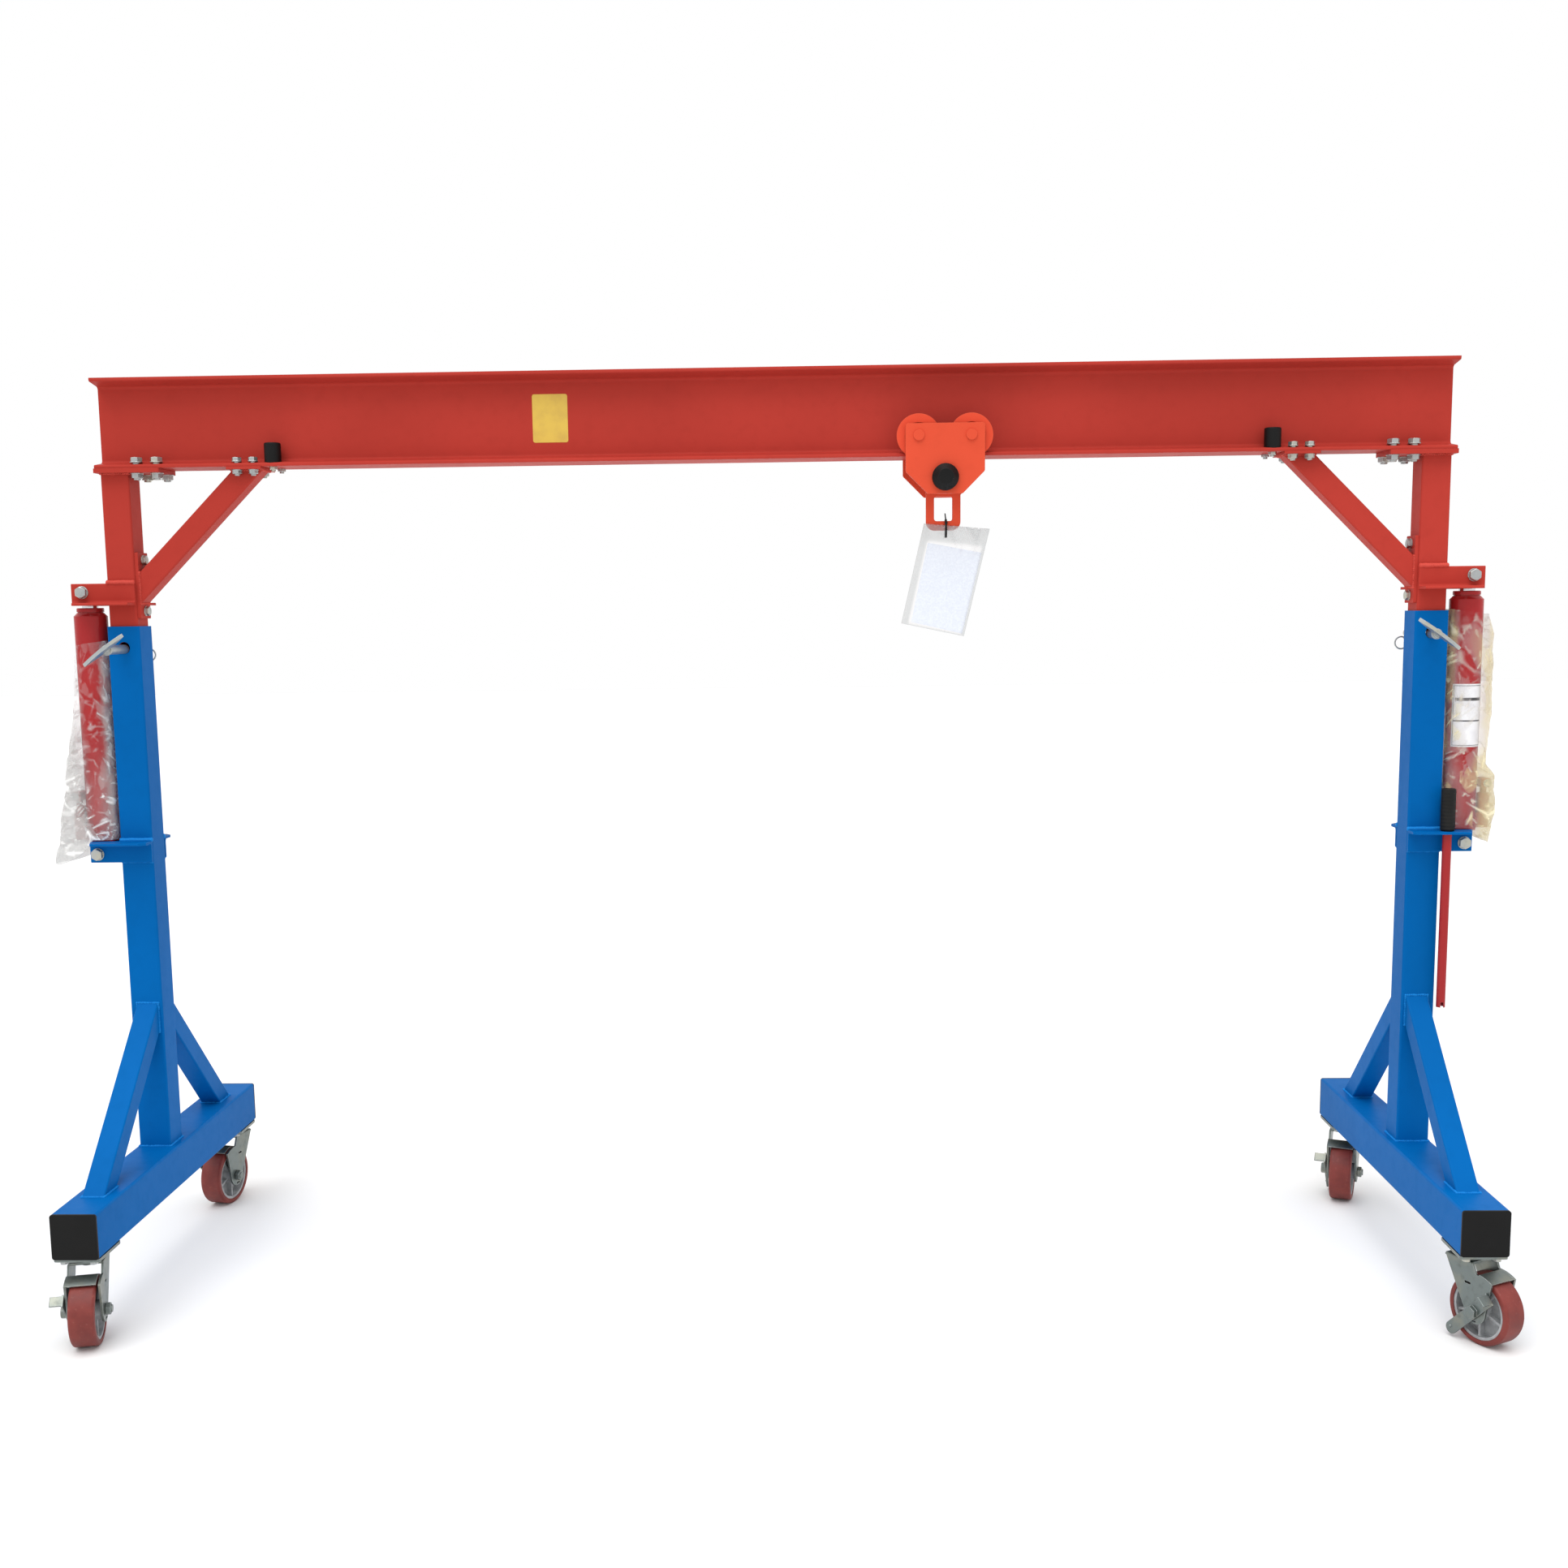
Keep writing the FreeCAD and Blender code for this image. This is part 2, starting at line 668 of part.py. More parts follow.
def make_jack_body(s):
    """Cylinder with a gland at its head, a foot lug between the lower angles, pump and valve."""
    low = lower_pin_z + cylinder_foot_gap
    high = upper_pin_z - cylinder_head_gap
    x = s * jack_x
    shoulder = high - gland_height
    body = rod((x, 0, low), (x, 0, shoulder), cylinder_radius)
    body = body.makeChamfer(cylinder_chamfer, [e for e in body.Edges if e.CenterOfMass.z > shoulder - 0.1])
    collar = rod((x, 0, shoulder - 1), (x, 0, high), gland_radius)
    collar = collar.makeFillet(2.5, [e for e in collar.Edges if e.CenterOfMass.z > high - 0.1])
    collar = collar.cut(rod((x, 0, shoulder + 1), (x, 0, shoulder + 3), gland_radius + 1).cut(
        rod((x, 0, shoulder), (x, 0, shoulder + 4), gland_radius - 2)))
    foot = box(x - 30, x + 30, -28, 28, low - 4, low + 22)
    lug = box(x - lug_radius, x + lug_radius, -lug_width / 2, lug_width / 2, lower_pin_z, low)
    eye = rod((x, -lug_width / 2, lower_pin_z), (x, lug_width / 2, lower_pin_z), lug_radius)
    pump_x = s * (jack_x + pump_offset)
    pump = rod((pump_x, 0, low), (pump_x, 0, low + pump_height), pump_radius)
    pump = pump.makeChamfer(3.0, [e for e in pump.Edges if e.CenterOfMass.z > low + 1])
    bridge = round_edges(box(x, pump_x, -17, 17, low, low + 34), 3.0, (1, 0, 0))
    pivot_z = low + plunger_height
    plunger = rod((pump_x, 0, low), (pump_x, 0, pivot_z), plunger_radius)
    wide, deep, tall = yoke
    block = box(pump_x - wide / 2, pump_x + wide / 2, -deep / 2, deep / 2,
                pivot_z - tall / 2, pivot_z + tall / 2)
    block = round_edges(block, 5.0, (0, 1, 0))
    pivot = rod((pump_x, -pivot_length / 2, pivot_z), (pump_x, pivot_length / 2, pivot_z), pivot_radius)
    pivot = pivot.makeChamfer(1.5, [e for e in pivot.Edges if len(e.Vertexes) == 1])
    valve_x = (x + pump_x) / 2
    valve = rod((valve_x, -24, low + valve_height), (valve_x, 0, low + valve_height), valve_radius)
    knob = hexagon((valve_x, -24, low + valve_height), (0, -1, 0), 3 * valve_radius, 7.0)
    solid = body.fuse([collar, foot, lug, eye, pump, bridge, plunger, block, pivot, valve, knob])
    solid = solid.removeSplitter()
    bore = rod((x, 0, low + 18), (x, 0, shoulder - gland_depth), cylinder_bore)
    gland = rod((x, 0, low + 18), (x, 0, high + 1), ram_radius + ram_fit)
    pin_hole = rod((x, -lug_width, lower_pin_z), (x, lug_width, lower_pin_z), m16[0] + hole_gap)
    return solid.cut([bore, gland, pin_hole])


def make_film_bag(s):
    """Thin open-ended sleeve of film round the cylinder and its pump, standing on the lower angles."""
    apart = pump_offset

    def filled(inset, low, high):
        big = cylinder_radius + film_gap + film_wall - inset
        small = film_pump_radius - inset
        lean = math.acos((big - small) / apart)
        tangent = Vector(s * math.cos(lean), math.sin(lean), 0)
        mirrored = Vector(tangent.x, -tangent.y, 0)
        start = Vector(s * jack_x, 0, low)
        end = Vector(s * (jack_x + apart), 0, low)
        outline = Part.Wire([
            Part.Arc(start + mirrored * big, start - Vector(s * big, 0, 0), start + tangent * big).toShape(),
            Part.makeLine(start + tangent * big, end + tangent * small),
            Part.Arc(end + tangent * small, end + Vector(s * small, 0, 0), end + mirrored * small).toShape(),
            Part.makeLine(end + mirrored * small, start + mirrored * big)])
        return Part.Face(outline).extrude(Vector(0, 0, high - low))

    low = lower_bracket_top + film_seat
    high = upper_pin_z - film_top
    return filled(0, low, high).cut(filled(film_wall, low - 1, high + 1))


def caster_bolt_places(s):
    places = []
    for end in (-1, 1):
        for dx in (-1, 1):
            for dy in (-1, 1):
                places.append((s * leg_x + dx * caster_holes[1] / 2,
                               end * swivel_y + dy * caster_holes[0] / 2))
    return places


def make_caster_plates(s):
    """Bolted plate of each caster with its fixed race and the kingpin that the fork turns on."""
    length, width, thick = caster_plate
    pieces = []
    for end in (-1, 1):
        x = s * leg_x
        y = end * swivel_y
        plate = box(x - width / 2, x + width / 2, y - length / 2, y + length / 2,
                    caster_height - thick, caster_height)
        plate = round_edges(plate, 8.0, (0, 0, 1))
        race = rod((x, y, race_top), (x, y, caster_height - thick), race_radius)
        pin = rod((x, y, crown_bottom - kingpin_head), (x, y, race_top), kingpin_radius)
        head = rod((x, y, crown_bottom - kingpin_head), (x, y, crown_bottom - 0.3),
                   kingpin_radius + 6)
        holes = []
        for dx in (-1, 1):
            for dy in (-1, 1):
                px = x + dx * caster_holes[1] / 2
                py = y + dy * caster_holes[0] / 2
                holes.append(rod((px, py, caster_height - thick - 1), (px, py, caster_height + 1),
                                 m10[0] + hole_gap))
        pieces.append(plate.fuse([race, pin, head]).removeSplitter().cut(holes))
    return pieces


def make_lock_pin(name, s):
    """Locking pin as seen outside the post: its handle end in front, its tip and clip behind."""
    x = s * post_x
    half = outer_size / 2
    wall = half - outer_wall
    z = lock_z - (pin_hole_radius - pin_radius) + pin_play
    collar_y = -half - pin_out[name]
    collar_radius, collar_thickness = pin_collar
    neck_radius, neck_length = pin_neck
    shank = rod((x, collar_y, z), (x, -wall, z), pin_radius)
    collar = rod((x, collar_y - collar_thickness, z), (x, collar_y, z), collar_radius)
    plate_back = collar_y - collar_thickness - neck_length
    neck = rod((x, plate_back - 2, z), (x, collar_y, z), neck_radius)
    length, depth, thickness = pin_handle
    middle = plate_back - depth / 2
    low = z - thickness / 2
    tips = (Vector(x - length / 2, middle, low), Vector(x + length / 2, middle, low))
    bulges = (Vector(x, middle - depth / 2, low), Vector(x, middle + depth / 2, low))
    outline = Part.Wire([Part.Arc(tips[0], bulges[0], tips[1]).toShape(),
                         Part.Arc(tips[1], bulges[1], tips[0]).toShape()])
    plate = Part.Face(outline).extrude(Vector(0, 0, thickness))
    plate.rotate(Vector(x, middle, z), Vector(0, 1, 0), s * pin_handle_tilt)
    handle = shank.fuse([collar, neck, plate]).removeSplitter()

    tip_y = pin_length - half - pin_out[name]
    tip = rod((x, wall, z), (x, tip_y, z), pin_radius)
    clip_y = tip_y - clip_inset
    lean = math.radians(clip_lean[name])
    along = Vector(-s * math.sin(lean), 0, -math.cos(lean))
    centre = Vector(x, clip_y, z)
    stem_start = centre - along * (clip_length / 2)
    stem = Part.makeCylinder(clip_rod, clip_length, stem_start, along)
    ring_centre = centre + along * (clip_length / 2 + clip_radius - 1.5 * clip_wire)
    ring = Part.makeTorus(clip_radius, clip_wire, ring_centre, Vector(0, 1, 0))
    return [handle, tip.fuse([stem, ring]).removeSplitter()]


crown_top = caster_height - caster_plate[2] - race_height
crown_bottom = crown_top - fork_thickness
race_top = crown_top + 1.0
kingpin_head = 7.0

handle_x = jack_x - handle_out
handle_y = -(outer_size / 2 + angle_thickness + handle_clear + handle_radius)

for name, s in (("left", -1), ("right", 1)):
    half = outer_size / 2
    export(name + "_base_tube", make_base_tube(s))
    export(name + "_end_caps", *make_end_caps(s))
    export(name + "_outer_post", make_outer_post(s))
    export(name + "_struts", *make_struts(s))
    lower = angle_pair(s, post_x - half, post_x + half + lower_bracket_reach, half,
                       lower_bracket_top, True, lower_pin_z)
    if s > 0:
        hole = rod((handle_x, handle_y, lower_bracket_top - 20),
                   (handle_x, handle_y, lower_bracket_top + 1), handle_radius + handle_hole_gap)
        lower[0] = lower[0].cut(hole)
    export(name + "_lower_brackets", *lower)
    export(name + "_jack_body", make_jack_body(s))
    export(name + "_film_bag", make_film_bag(s))
    export(name + "_caster_plates", *make_caster_plates(s))
    export(name + "_lock_pin", *make_lock_pin(name, s))
    bolts = [long_bolt(s, half, lower_pin_z)]
    for x, y in caster_bolt_places(s):
        bolts.append(bolt((x, y, caster_height - caster_plate[2]), (x, y, caster_height + base_wall),
                          m10, 2.0))
    export(name + "_leg_bolts", *bolts)


# ---------------------------------------------------------------- stored jack handle
def make_handle():
    """Tube with a notched lower end, hung by its grip in the bracket's flat leg."""
    top = lower_bracket_top + grip_length
    bottom = top - handle_length
    tube = rod((handle_x, handle_y, bottom), (handle_x, handle_y, top - 5), handle_radius)
    core = rod((handle_x, handle_y, bottom - 1), (handle_x, handle_y, top - 30),
               handle_radius - handle_wall)
    notch = box(handle_x - notch_width / 2, handle_x + notch_width / 2,
                handle_y - handle_radius - 1, handle_y + handle_radius + 1,
                bottom - 1, bottom + notch_depth)
    return tube.cut([core, notch])


def make_grip():
    low = lower_bracket_top + 0.3
    high = lower_bracket_top + grip_length
    sleeve = rod((handle_x, handle_y, low), (handle_x, handle_y, high), grip_radius)
    sleeve = sleeve.makeFillet(4.0, [e for e in sleeve.Edges if len(e.Vertexes) == 1])
    hollow = rod((handle_x, handle_y, low - 1), (handle_x, handle_y, high - 5),
                 handle_radius + grip_fit)
    return sleeve.cut(hollow)


export("jack_handle", make_handle())
export("handle_grip", make_grip())


# ---------------------------------------------------------------- casters
# A caster is made facing +X with its swivel axis at x = y = 0, then turned and set in place.
fork_inside = wheel_width / 2 + fork_gap
fork_outside = fork_inside + fork_thickness
shoe_inner = wheel_radius + shoe_gap


def leg_outline(y):
    """Side profile of a fork leg: wide at the crown, a lobe towards the brake shoe, round below."""
    cx, cz = wheel_trail, wheel_radius
    heel = Vector(-fork_crown_radius, y, crown_top)
    toe = Vector(fork_crown_front, y, crown_top)
    behind = Vector(cx - fork_end_radius, y, cz)
    below = Vector(cx, y, cz - fork_end_radius)
    ahead = Vector(cx + fork_end_radius, y, cz)
    lobe = Vector(*around_wheel(shoe_inner, shoe_start, y))
    lobe_top = Vector(*around_wheel(shoe_inner, 90.0, y))
    lobe_middle = Vector(*around_wheel(shoe_inner, (shoe_start + 90.0) / 2, y))
    edges = [Part.makeLine(heel, behind), Part.Arc(behind, below, ahead).toShape(),
             Part.makeLine(ahead, lobe), Part.Arc(lobe, lobe_middle, lobe_top).toShape(),
             Part.makeLine(lobe_top, toe), Part.makeLine(toe, heel)]
    return Part.Face(Part.Wire(edges))


def around_wheel(radius, degrees, y):
    """A point about the wheel's axle; 0 degrees is straight ahead and 90 is straight up."""
    angle = math.radians(degrees)
    return (wheel_trail + radius * math.cos(angle), y, wheel_radius + radius * math.sin(angle))


def make_fork():
    """Pressed fork with its round crown, and the brake shoe curved over the tread."""
    legs = [leg_outline(-fork_outside).extrude(Vector(0, fork_thickness, 0)),
            leg_outline(fork_inside).extrude(Vector(0, fork_thickness, 0))]
    crown = box(-fork_crown_radius, fork_crown_front, -fork_outside, fork_outside,
                crown_bottom, crown_top)
    body = legs[0].fuse([legs[1], crown]).removeSplitter()
    bends = []
    for edge in body.Edges:
        middle = edge.CenterOfMass
        if abs(abs(middle.y) - fork_outside) < 0.01 and abs(middle.z - crown_top) < 0.01:
            bends.append(edge)
    body = body.makeFillet(fork_bend, bends)
    ring = rod((wheel_trail, -fork_outside, wheel_radius),
               (wheel_trail, wheel_width / 2 + 1, wheel_radius), shoe_inner + shoe_thickness)
    ring = ring.cut(rod((wheel_trail, -60, wheel_radius), (wheel_trail, 60, wheel_radius), shoe_inner))
    far = shoe_inner * 2
    wedge = [(wheel_trail, -60, wheel_radius), around_wheel(far, shoe_start, -60),
             around_wheel(far, shoe_end, -60)]
    shoe = ring.common(prism(wedge, (0, 120, 0)))
    solid = body.fuse(shoe).removeSplitter()
    axle_hole = rod((wheel_trail, -60, wheel_radius), (wheel_trail, 60, wheel_radius),
                    axle_radius + axle_fit)
    kingpin_hole = rod((0, 0, crown_bottom - 1), (0, 0, crown_top + 1), kingpin_radius + kingpin_fit)
    # pressed slots in the legs, above the axle behind and below it
    long, tall = fork_slot
    slots = []
    for dx, dz in ((-20.0, 56.0), (-3.0, -21.0)):
        slot = box(wheel_trail + dx - long / 2, wheel_trail + dx + long / 2, -60, 60,
                   wheel_radius + dz - tall / 2, wheel_radius + dz + tall / 2)
        slots.append(round_edges(slot, tall * 0.49, (0, 1, 0)))
    return solid.cut([axle_hole, kingpin_hole] + slots)


def make_lever():
    """Brake lever on the axle bolt: a flat bar outside the left leg with a tab at its front end."""
    start = -fork_outside - 1.0
    far = start - lever_thickness
    cx, cz = wheel_trail, wheel_radius
    half = lever_width / 2
    bar = box(cx - lever_back, cx + lever_front, start, far, cz - half, cz + half)
    end = rod((cx - lever_back, start, cz), (cx - lever_back, far, cz), half)
    tab = box(cx + lever_front - lever_thickness, cx + lever_front, start, far - lever_tab,
              cz - half + 3, cz + half - 3)
    lever = bar.fuse([end, tab]).removeSplitter()
    lever = round_edges(lever, lever_edge, (0, 0, 1))
    pip = Part.makeSphere(4.0, Vector(cx - lever_back, far, cz + 3))
    lever = lever.fuse(pip).removeSplitter()
    lever.rotate(Vector(cx, 0, cz), Vector(0, 1, 0), -lever_tilt)
    axle = rod((cx, far - 1, cz), (cx, fork_outside + 14, cz), axle_radius)
    head = hexagon((cx, far, cz), (0, -1, 0), m16[1], m16[2])
    nut = hexagon((cx, fork_outside + 1.0, cz), (0, 1, 0), m16[1], m16[2])
    return lever.fuse([axle, head, nut]).removeSplitter()


def make_wheel_core():
    """Cast core: rim, thin web, hub and ribs on both sides."""
    cx, cz = wheel_trail, wheel_radius
    half = wheel_width / 2
    rim_outer = wheel_radius - tread_thickness
    rim_inner = rim_outer - 6.0
    rim = rod((cx, -half + 2, cz), (cx, half - 2, cz), rim_outer)
    rim = rim.cut(rod((cx, -60, cz), (cx, 60, cz), rim_inner))
    web = rod((cx, -4, cz), (cx, 4, cz), rim_inner + 1)
    hub = rod((cx, -half - fork_gap + 0.6, cz), (cx, half + fork_gap - 0.6, cz), hub_radius)
    ribs = []
    for step in range(5):
        rib = box(cx, cx + rim_inner + 1, -half + 8, half - 8, cz - 2.5, cz + 2.5)
        rib.rotate(Vector(cx, 0, cz), Vector(0, 1, 0), 72.0 * step + 18.0)
        ribs.append(rib)
    solid = rim.fuse([web, hub] + ribs).removeSplitter()
    return solid.cut(rod((cx, -60, cz), (cx, 60, cz), axle_radius + axle_fit))


def make_tread():
    cx, cz = wheel_trail, wheel_radius
    half = wheel_width / 2
    tread = rod((cx, -half, cz), (cx, half, cz), wheel_radius)
    tread = tread.makeFillet(6.0, [e for e in tread.Edges if len(e.Vertexes) == 1])
    return tread.cut(rod((cx, -60, cz), (cx, 60, cz), wheel_radius - tread_thickness))


caster_pieces = {
    "fork": make_fork(),
    "brake_lever": make_lever(),
    "wheel_core": make_wheel_core(),
    "tread": make_tread(),
}
for place, heading in caster_heading.items():
    along = -1 if "left" in place else 1
    across = -1 if "front" in place else 1
    for piece, solid in caster_pieces.items():
        placed = solid.copy()
        placed.rotate(Vector(0, 0, 0), Vector(0, 0, 1), heading - 90.0)
        placed.translate(Vector(along * leg_x, across * swivel_y, 0))
        export(piece + "_" + place, placed)


# ---------------------------------------------------------------- trolley
axle_z = flange_height(flange_width / 2 - trolley_tread_width / 2) + trolley_wheel_tread + rolling_gap
shaft_z = axle_z - shaft_below
wheel_flange_y = flange_width / 2 + trolley_flange_gap
wheel_face_y = wheel_flange_y + trolley_flange_thickness
plate_y = wheel_face_y + trolley_plate_gap
plate_face_y = plate_y + trolley_plate_thickness


def make_trolley_plates():
    x = trolley_x
    half = trolley_plate_width / 2
    foot = trolley_plate_foot / 2
    plates = []
    for front in (-1, 1):
        outline = [(x - half, axle_z + trolley_plate_above), (x + half, axle_z + trolley_plate_above),
                   (x + half, axle_z - trolley_plate_shoulder), (x + foot, axle_z - trolley_plate_below),
                   (x - foot, axle_z - trolley_plate_below), (x - half, axle_z - trolley_plate_shoulder)]
        plate = prism([(px, front * plate_y, pz) for px, pz in outline],
                      (0, front * trolley_plate_thickness, 0))
        plate = round_edges(plate, 6.0, (0, 1, 0))
        holes = [rod((x, -120, shaft_z), (x, 120, shaft_z), shaft_radius)]
        for side in (-1, 1):
            px = x + side * trolley_wheelbase / 2
            holes.append(rod((px, -120, axle_z), (px, 120, axle_z), trolley_axle_radius))
        plates.append(plate.cut(holes))
    return plates


def make_trolley_pins():
    """Four wheel axles with round heads, and the hanger shaft with its collars and nuts."""
    pins = []
    for side in (-1, 1):
        for front in (-1, 1):
            px = trolley_x + side * trolley_wheelbase / 2
            tread_start = wheel_flange_y - trolley_tread_width - 4
            axle = rod((px, front * tread_start, axle_z), (px, front * plate_face_y, axle_z),
                       trolley_axle_radius)
            head = rod((px, front * plate_face_y, axle_z), (px, front * (plate_face_y + 4), axle_z),
                       trolley_axle_head)
            keeper = rod((px, front * tread_start, axle_z),
                         (px, front * (tread_start + 3), axle_z), trolley_axle_head)
            pins.append(axle.fuse([head, keeper]).removeSplitter())
    reach = plate_face_y + 16
    shaft = rod((trolley_x, -reach, shaft_z), (trolley_x, reach, shaft_z), shaft_radius)
    collars = []
    for front in (-1, 1):
        near = hanger_thickness / 2 + 1
        collars.append(rod((trolley_x, front * near, shaft_z),
                           (trolley_x, front * (near + 10), shaft_z), shaft_radius + 7))
        collars.append(hexagon((trolley_x, front * plate_y, shaft_z), (0, -front, 0), 36.0, 14.0))
        collars.append(hexagon((trolley_x, front * plate_face_y, shaft_z), (0, front, 0), 36.0, 14.0))
    pins.append(shaft.fuse(collars).removeSplitter())
    return pins


def make_trolley_caps():
    """Plastic caps pushed over the shaft's end nuts."""
    caps = []
    for front in (-1, 1):
        near = front * plate_face_y
        skirt = rod((trolley_x, near, shaft_z), (trolley_x, near + front * 12, shaft_z), cap_radius)
        base = Vector(trolley_x, near + front * 12, shaft_z)
        taper = Part.makeCone(cap_radius, cap_face_radius, cap_height - 12, base, Vector(0, front, 0))
        solid = skirt.fuse(taper).removeSplitter()
        hollow = rod((trolley_x, near - front, shaft_z), (trolley_x, near + front * 17, shaft_z), 21.3)
        caps.append(solid.cut(hollow))
    return caps


def make_trolley_wheel(px, front):
    """Coned tread on the beam's flange with a deep flange outside it, and a sunk outer face."""
    inner_y = wheel_flange_y - trolley_tread_width
    middle = flange_width / 2 - trolley_tread_width / 2
    inner_r = trolley_wheel_tread + (inner_y - middle) * flange_slope
    outer_r = trolley_wheel_tread + (wheel_flange_y - middle) * flange_slope
    start = Vector(px, front * inner_y, axle_z)
    tread = Part.makeCone(inner_r, outer_r, trolley_tread_width, start, Vector(0, front, 0))
    flange = rod((px, front * wheel_flange_y, axle_z), (px, front * wheel_face_y, axle_z),
                 trolley_wheel_flange)
    sunk = rod((px, front * (wheel_face_y - 3), axle_z), (px, front * (wheel_face_y + 1), axle_z), 29.0)
    boss = rod((px, front * (wheel_face_y - 4), axle_z), (px, front * (plate_y - 0.5), axle_z), 15.0)
    solid = tread.fuse(flange).cut(sunk).fuse(boss).removeSplitter()
    return solid.cut(rod((px, -120, axle_z), (px, 120, axle_z), trolley_axle_radius + axle_fit))


def make_hanger():
    """Flat eye plate on the shaft, with the slot that the hoist hooks into."""
    x = trolley_x
    half = hanger_width / 2
    low = shaft_z - hanger_drop
    body = box(x - half, x + half, -hanger_thickness / 2, hanger_thickness / 2, low, shaft_z)
    foot_edges = [e for e in body.Edges
                  if abs(e.CenterOfMass.z - low) < 0.1 and abs(abs(e.CenterOfMass.x - x) - half) < 0.1]
    body = body.makeFillet(hanger_foot_radius, foot_edges)
    head = rod((x, -hanger_thickness / 2, shaft_z), (x, hanger_thickness / 2, shaft_z), half)
    slot = box(x - slot_width / 2, x + slot_width / 2, -20, 20, shaft_z - slot_bottom, shaft_z - slot_top)
    slot = round_edges(slot, slot_corner, (0, 1, 0))
    bore = rod((x, -20, shaft_z), (x, 20, shaft_z), shaft_radius + shaft_fit)
    return body.fuse(head).removeSplitter().cut([slot, bore])


def make_pouch():
    """Flat pouch hanging askew from a cable tie round the hanger's lower bar."""
    x = trolley_x + tie_shift
    hanger_face = hanger_thickness / 2
    pouch_back = -hanger_face - pouch_gap
    pouch_front = pouch_back - pouch_thickness
    tie_top = shaft_z - slot_bottom + pouch_gap + tie_thickness
    tie_low = shaft_z - hanger_drop - tie_hang
    wall = tie_thickness
    outer = box(x - tie_width / 2, x + tie_width / 2, pouch_front - pouch_gap - wall,
                hanger_face + pouch_gap + wall, tie_low, tie_top)
    inner = box(x - tie_width, x + tie_width, pouch_front - pouch_gap, hanger_face + pouch_gap,
                tie_low + wall, tie_top - wall)
    tie = outer.cut(inner)
    top = tie_low + pouch_top_over
    left = x + pouch_shift - pouch_width / 2
    pouch = box(left, left + pouch_width, pouch_back, pouch_front, top - pouch_height, top)
    pouch.rotate(Vector(x, 0, tie_low), Vector(0, 1, 0), pouch_tilt)
    eye_z = tie_low + wall + pouch_gap - pouch_eye
    eye = rod((x, 0, eye_z), (x, -60, eye_z), pouch_eye)
    return [tie, pouch.cut(eye)]


export("trolley_plates", *make_trolley_plates())
export("trolley_pins", *make_trolley_pins())
export("trolley_caps", *make_trolley_caps())
for side_name, side in (("left", -1), ("right", 1)):
    for front_name, front in (("front", -1), ("back", 1)):
        wheel = make_trolley_wheel(trolley_x + side * trolley_wheelbase / 2, front)
        export("trolley_wheel_" + front_name + "_" + side_name, wheel)
export("hanger", make_hanger())
export("manual_pouch", *make_pouch())
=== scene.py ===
import math

import bpy
from mathutils import Matrix, Vector, noise


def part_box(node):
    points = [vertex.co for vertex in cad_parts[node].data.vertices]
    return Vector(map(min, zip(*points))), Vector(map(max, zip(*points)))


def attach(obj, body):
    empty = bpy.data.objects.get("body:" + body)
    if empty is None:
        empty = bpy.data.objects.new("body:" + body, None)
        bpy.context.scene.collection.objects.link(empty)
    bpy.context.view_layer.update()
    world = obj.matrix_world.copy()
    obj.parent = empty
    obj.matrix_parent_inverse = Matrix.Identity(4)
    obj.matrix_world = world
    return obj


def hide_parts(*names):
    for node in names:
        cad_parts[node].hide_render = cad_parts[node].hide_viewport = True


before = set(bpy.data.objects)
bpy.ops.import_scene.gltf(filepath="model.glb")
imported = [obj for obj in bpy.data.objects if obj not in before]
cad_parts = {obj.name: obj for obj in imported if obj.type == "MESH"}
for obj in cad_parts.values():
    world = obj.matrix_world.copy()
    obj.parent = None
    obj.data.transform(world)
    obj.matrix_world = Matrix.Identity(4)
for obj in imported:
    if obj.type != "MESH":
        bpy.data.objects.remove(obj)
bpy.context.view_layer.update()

sides = {"left": -1.0, "right": 1.0}


# ------------------------------------------------------------------ studio
# The crane stands on a wide pale floor under an even white sky, and one broad soft lamp shines
# down on it from in front, so that the beam's flange shades the top of its web.
class Shade:
    """A socket in a finish's node tree, so that shader maths reads as plain arithmetic."""

    def __init__(self, finish, socket):
        self.finish = finish
        self.socket = socket

    def maths(self, operation, first, second):
        return self.finish.node("ShaderNodeMath", {"operation": operation}, {0: first, 1: second}, 0)

    def __add__(self, other):
        return self.maths("ADD", self, other)

    def __radd__(self, other):
        return self.maths("ADD", other, self)

    def __sub__(self, other):
        return self.maths("SUBTRACT", self, other)

    def __rsub__(self, other):
        return self.maths("SUBTRACT", other, self)

    def __mul__(self, other):
        return self.maths("MULTIPLY", self, other)

    def __rmul__(self, other):
        return self.maths("MULTIPLY", other, self)

    def __pow__(self, other):
        return self.maths("POWER", self, other)

    def capped(self):
        return self.finish.node("ShaderNodeClamp", {}, {"Value": self}, 0)

    def between(self, low, high):
        """0 up to low, 1 from high on, and a smooth step from one to the other."""
        return self.finish.node(
            "ShaderNodeMapRange",
            {"interpolation_type": "SMOOTHSTEP"},
            {"Value": self, "From Min": low, "From Max": high},
            0,
        )


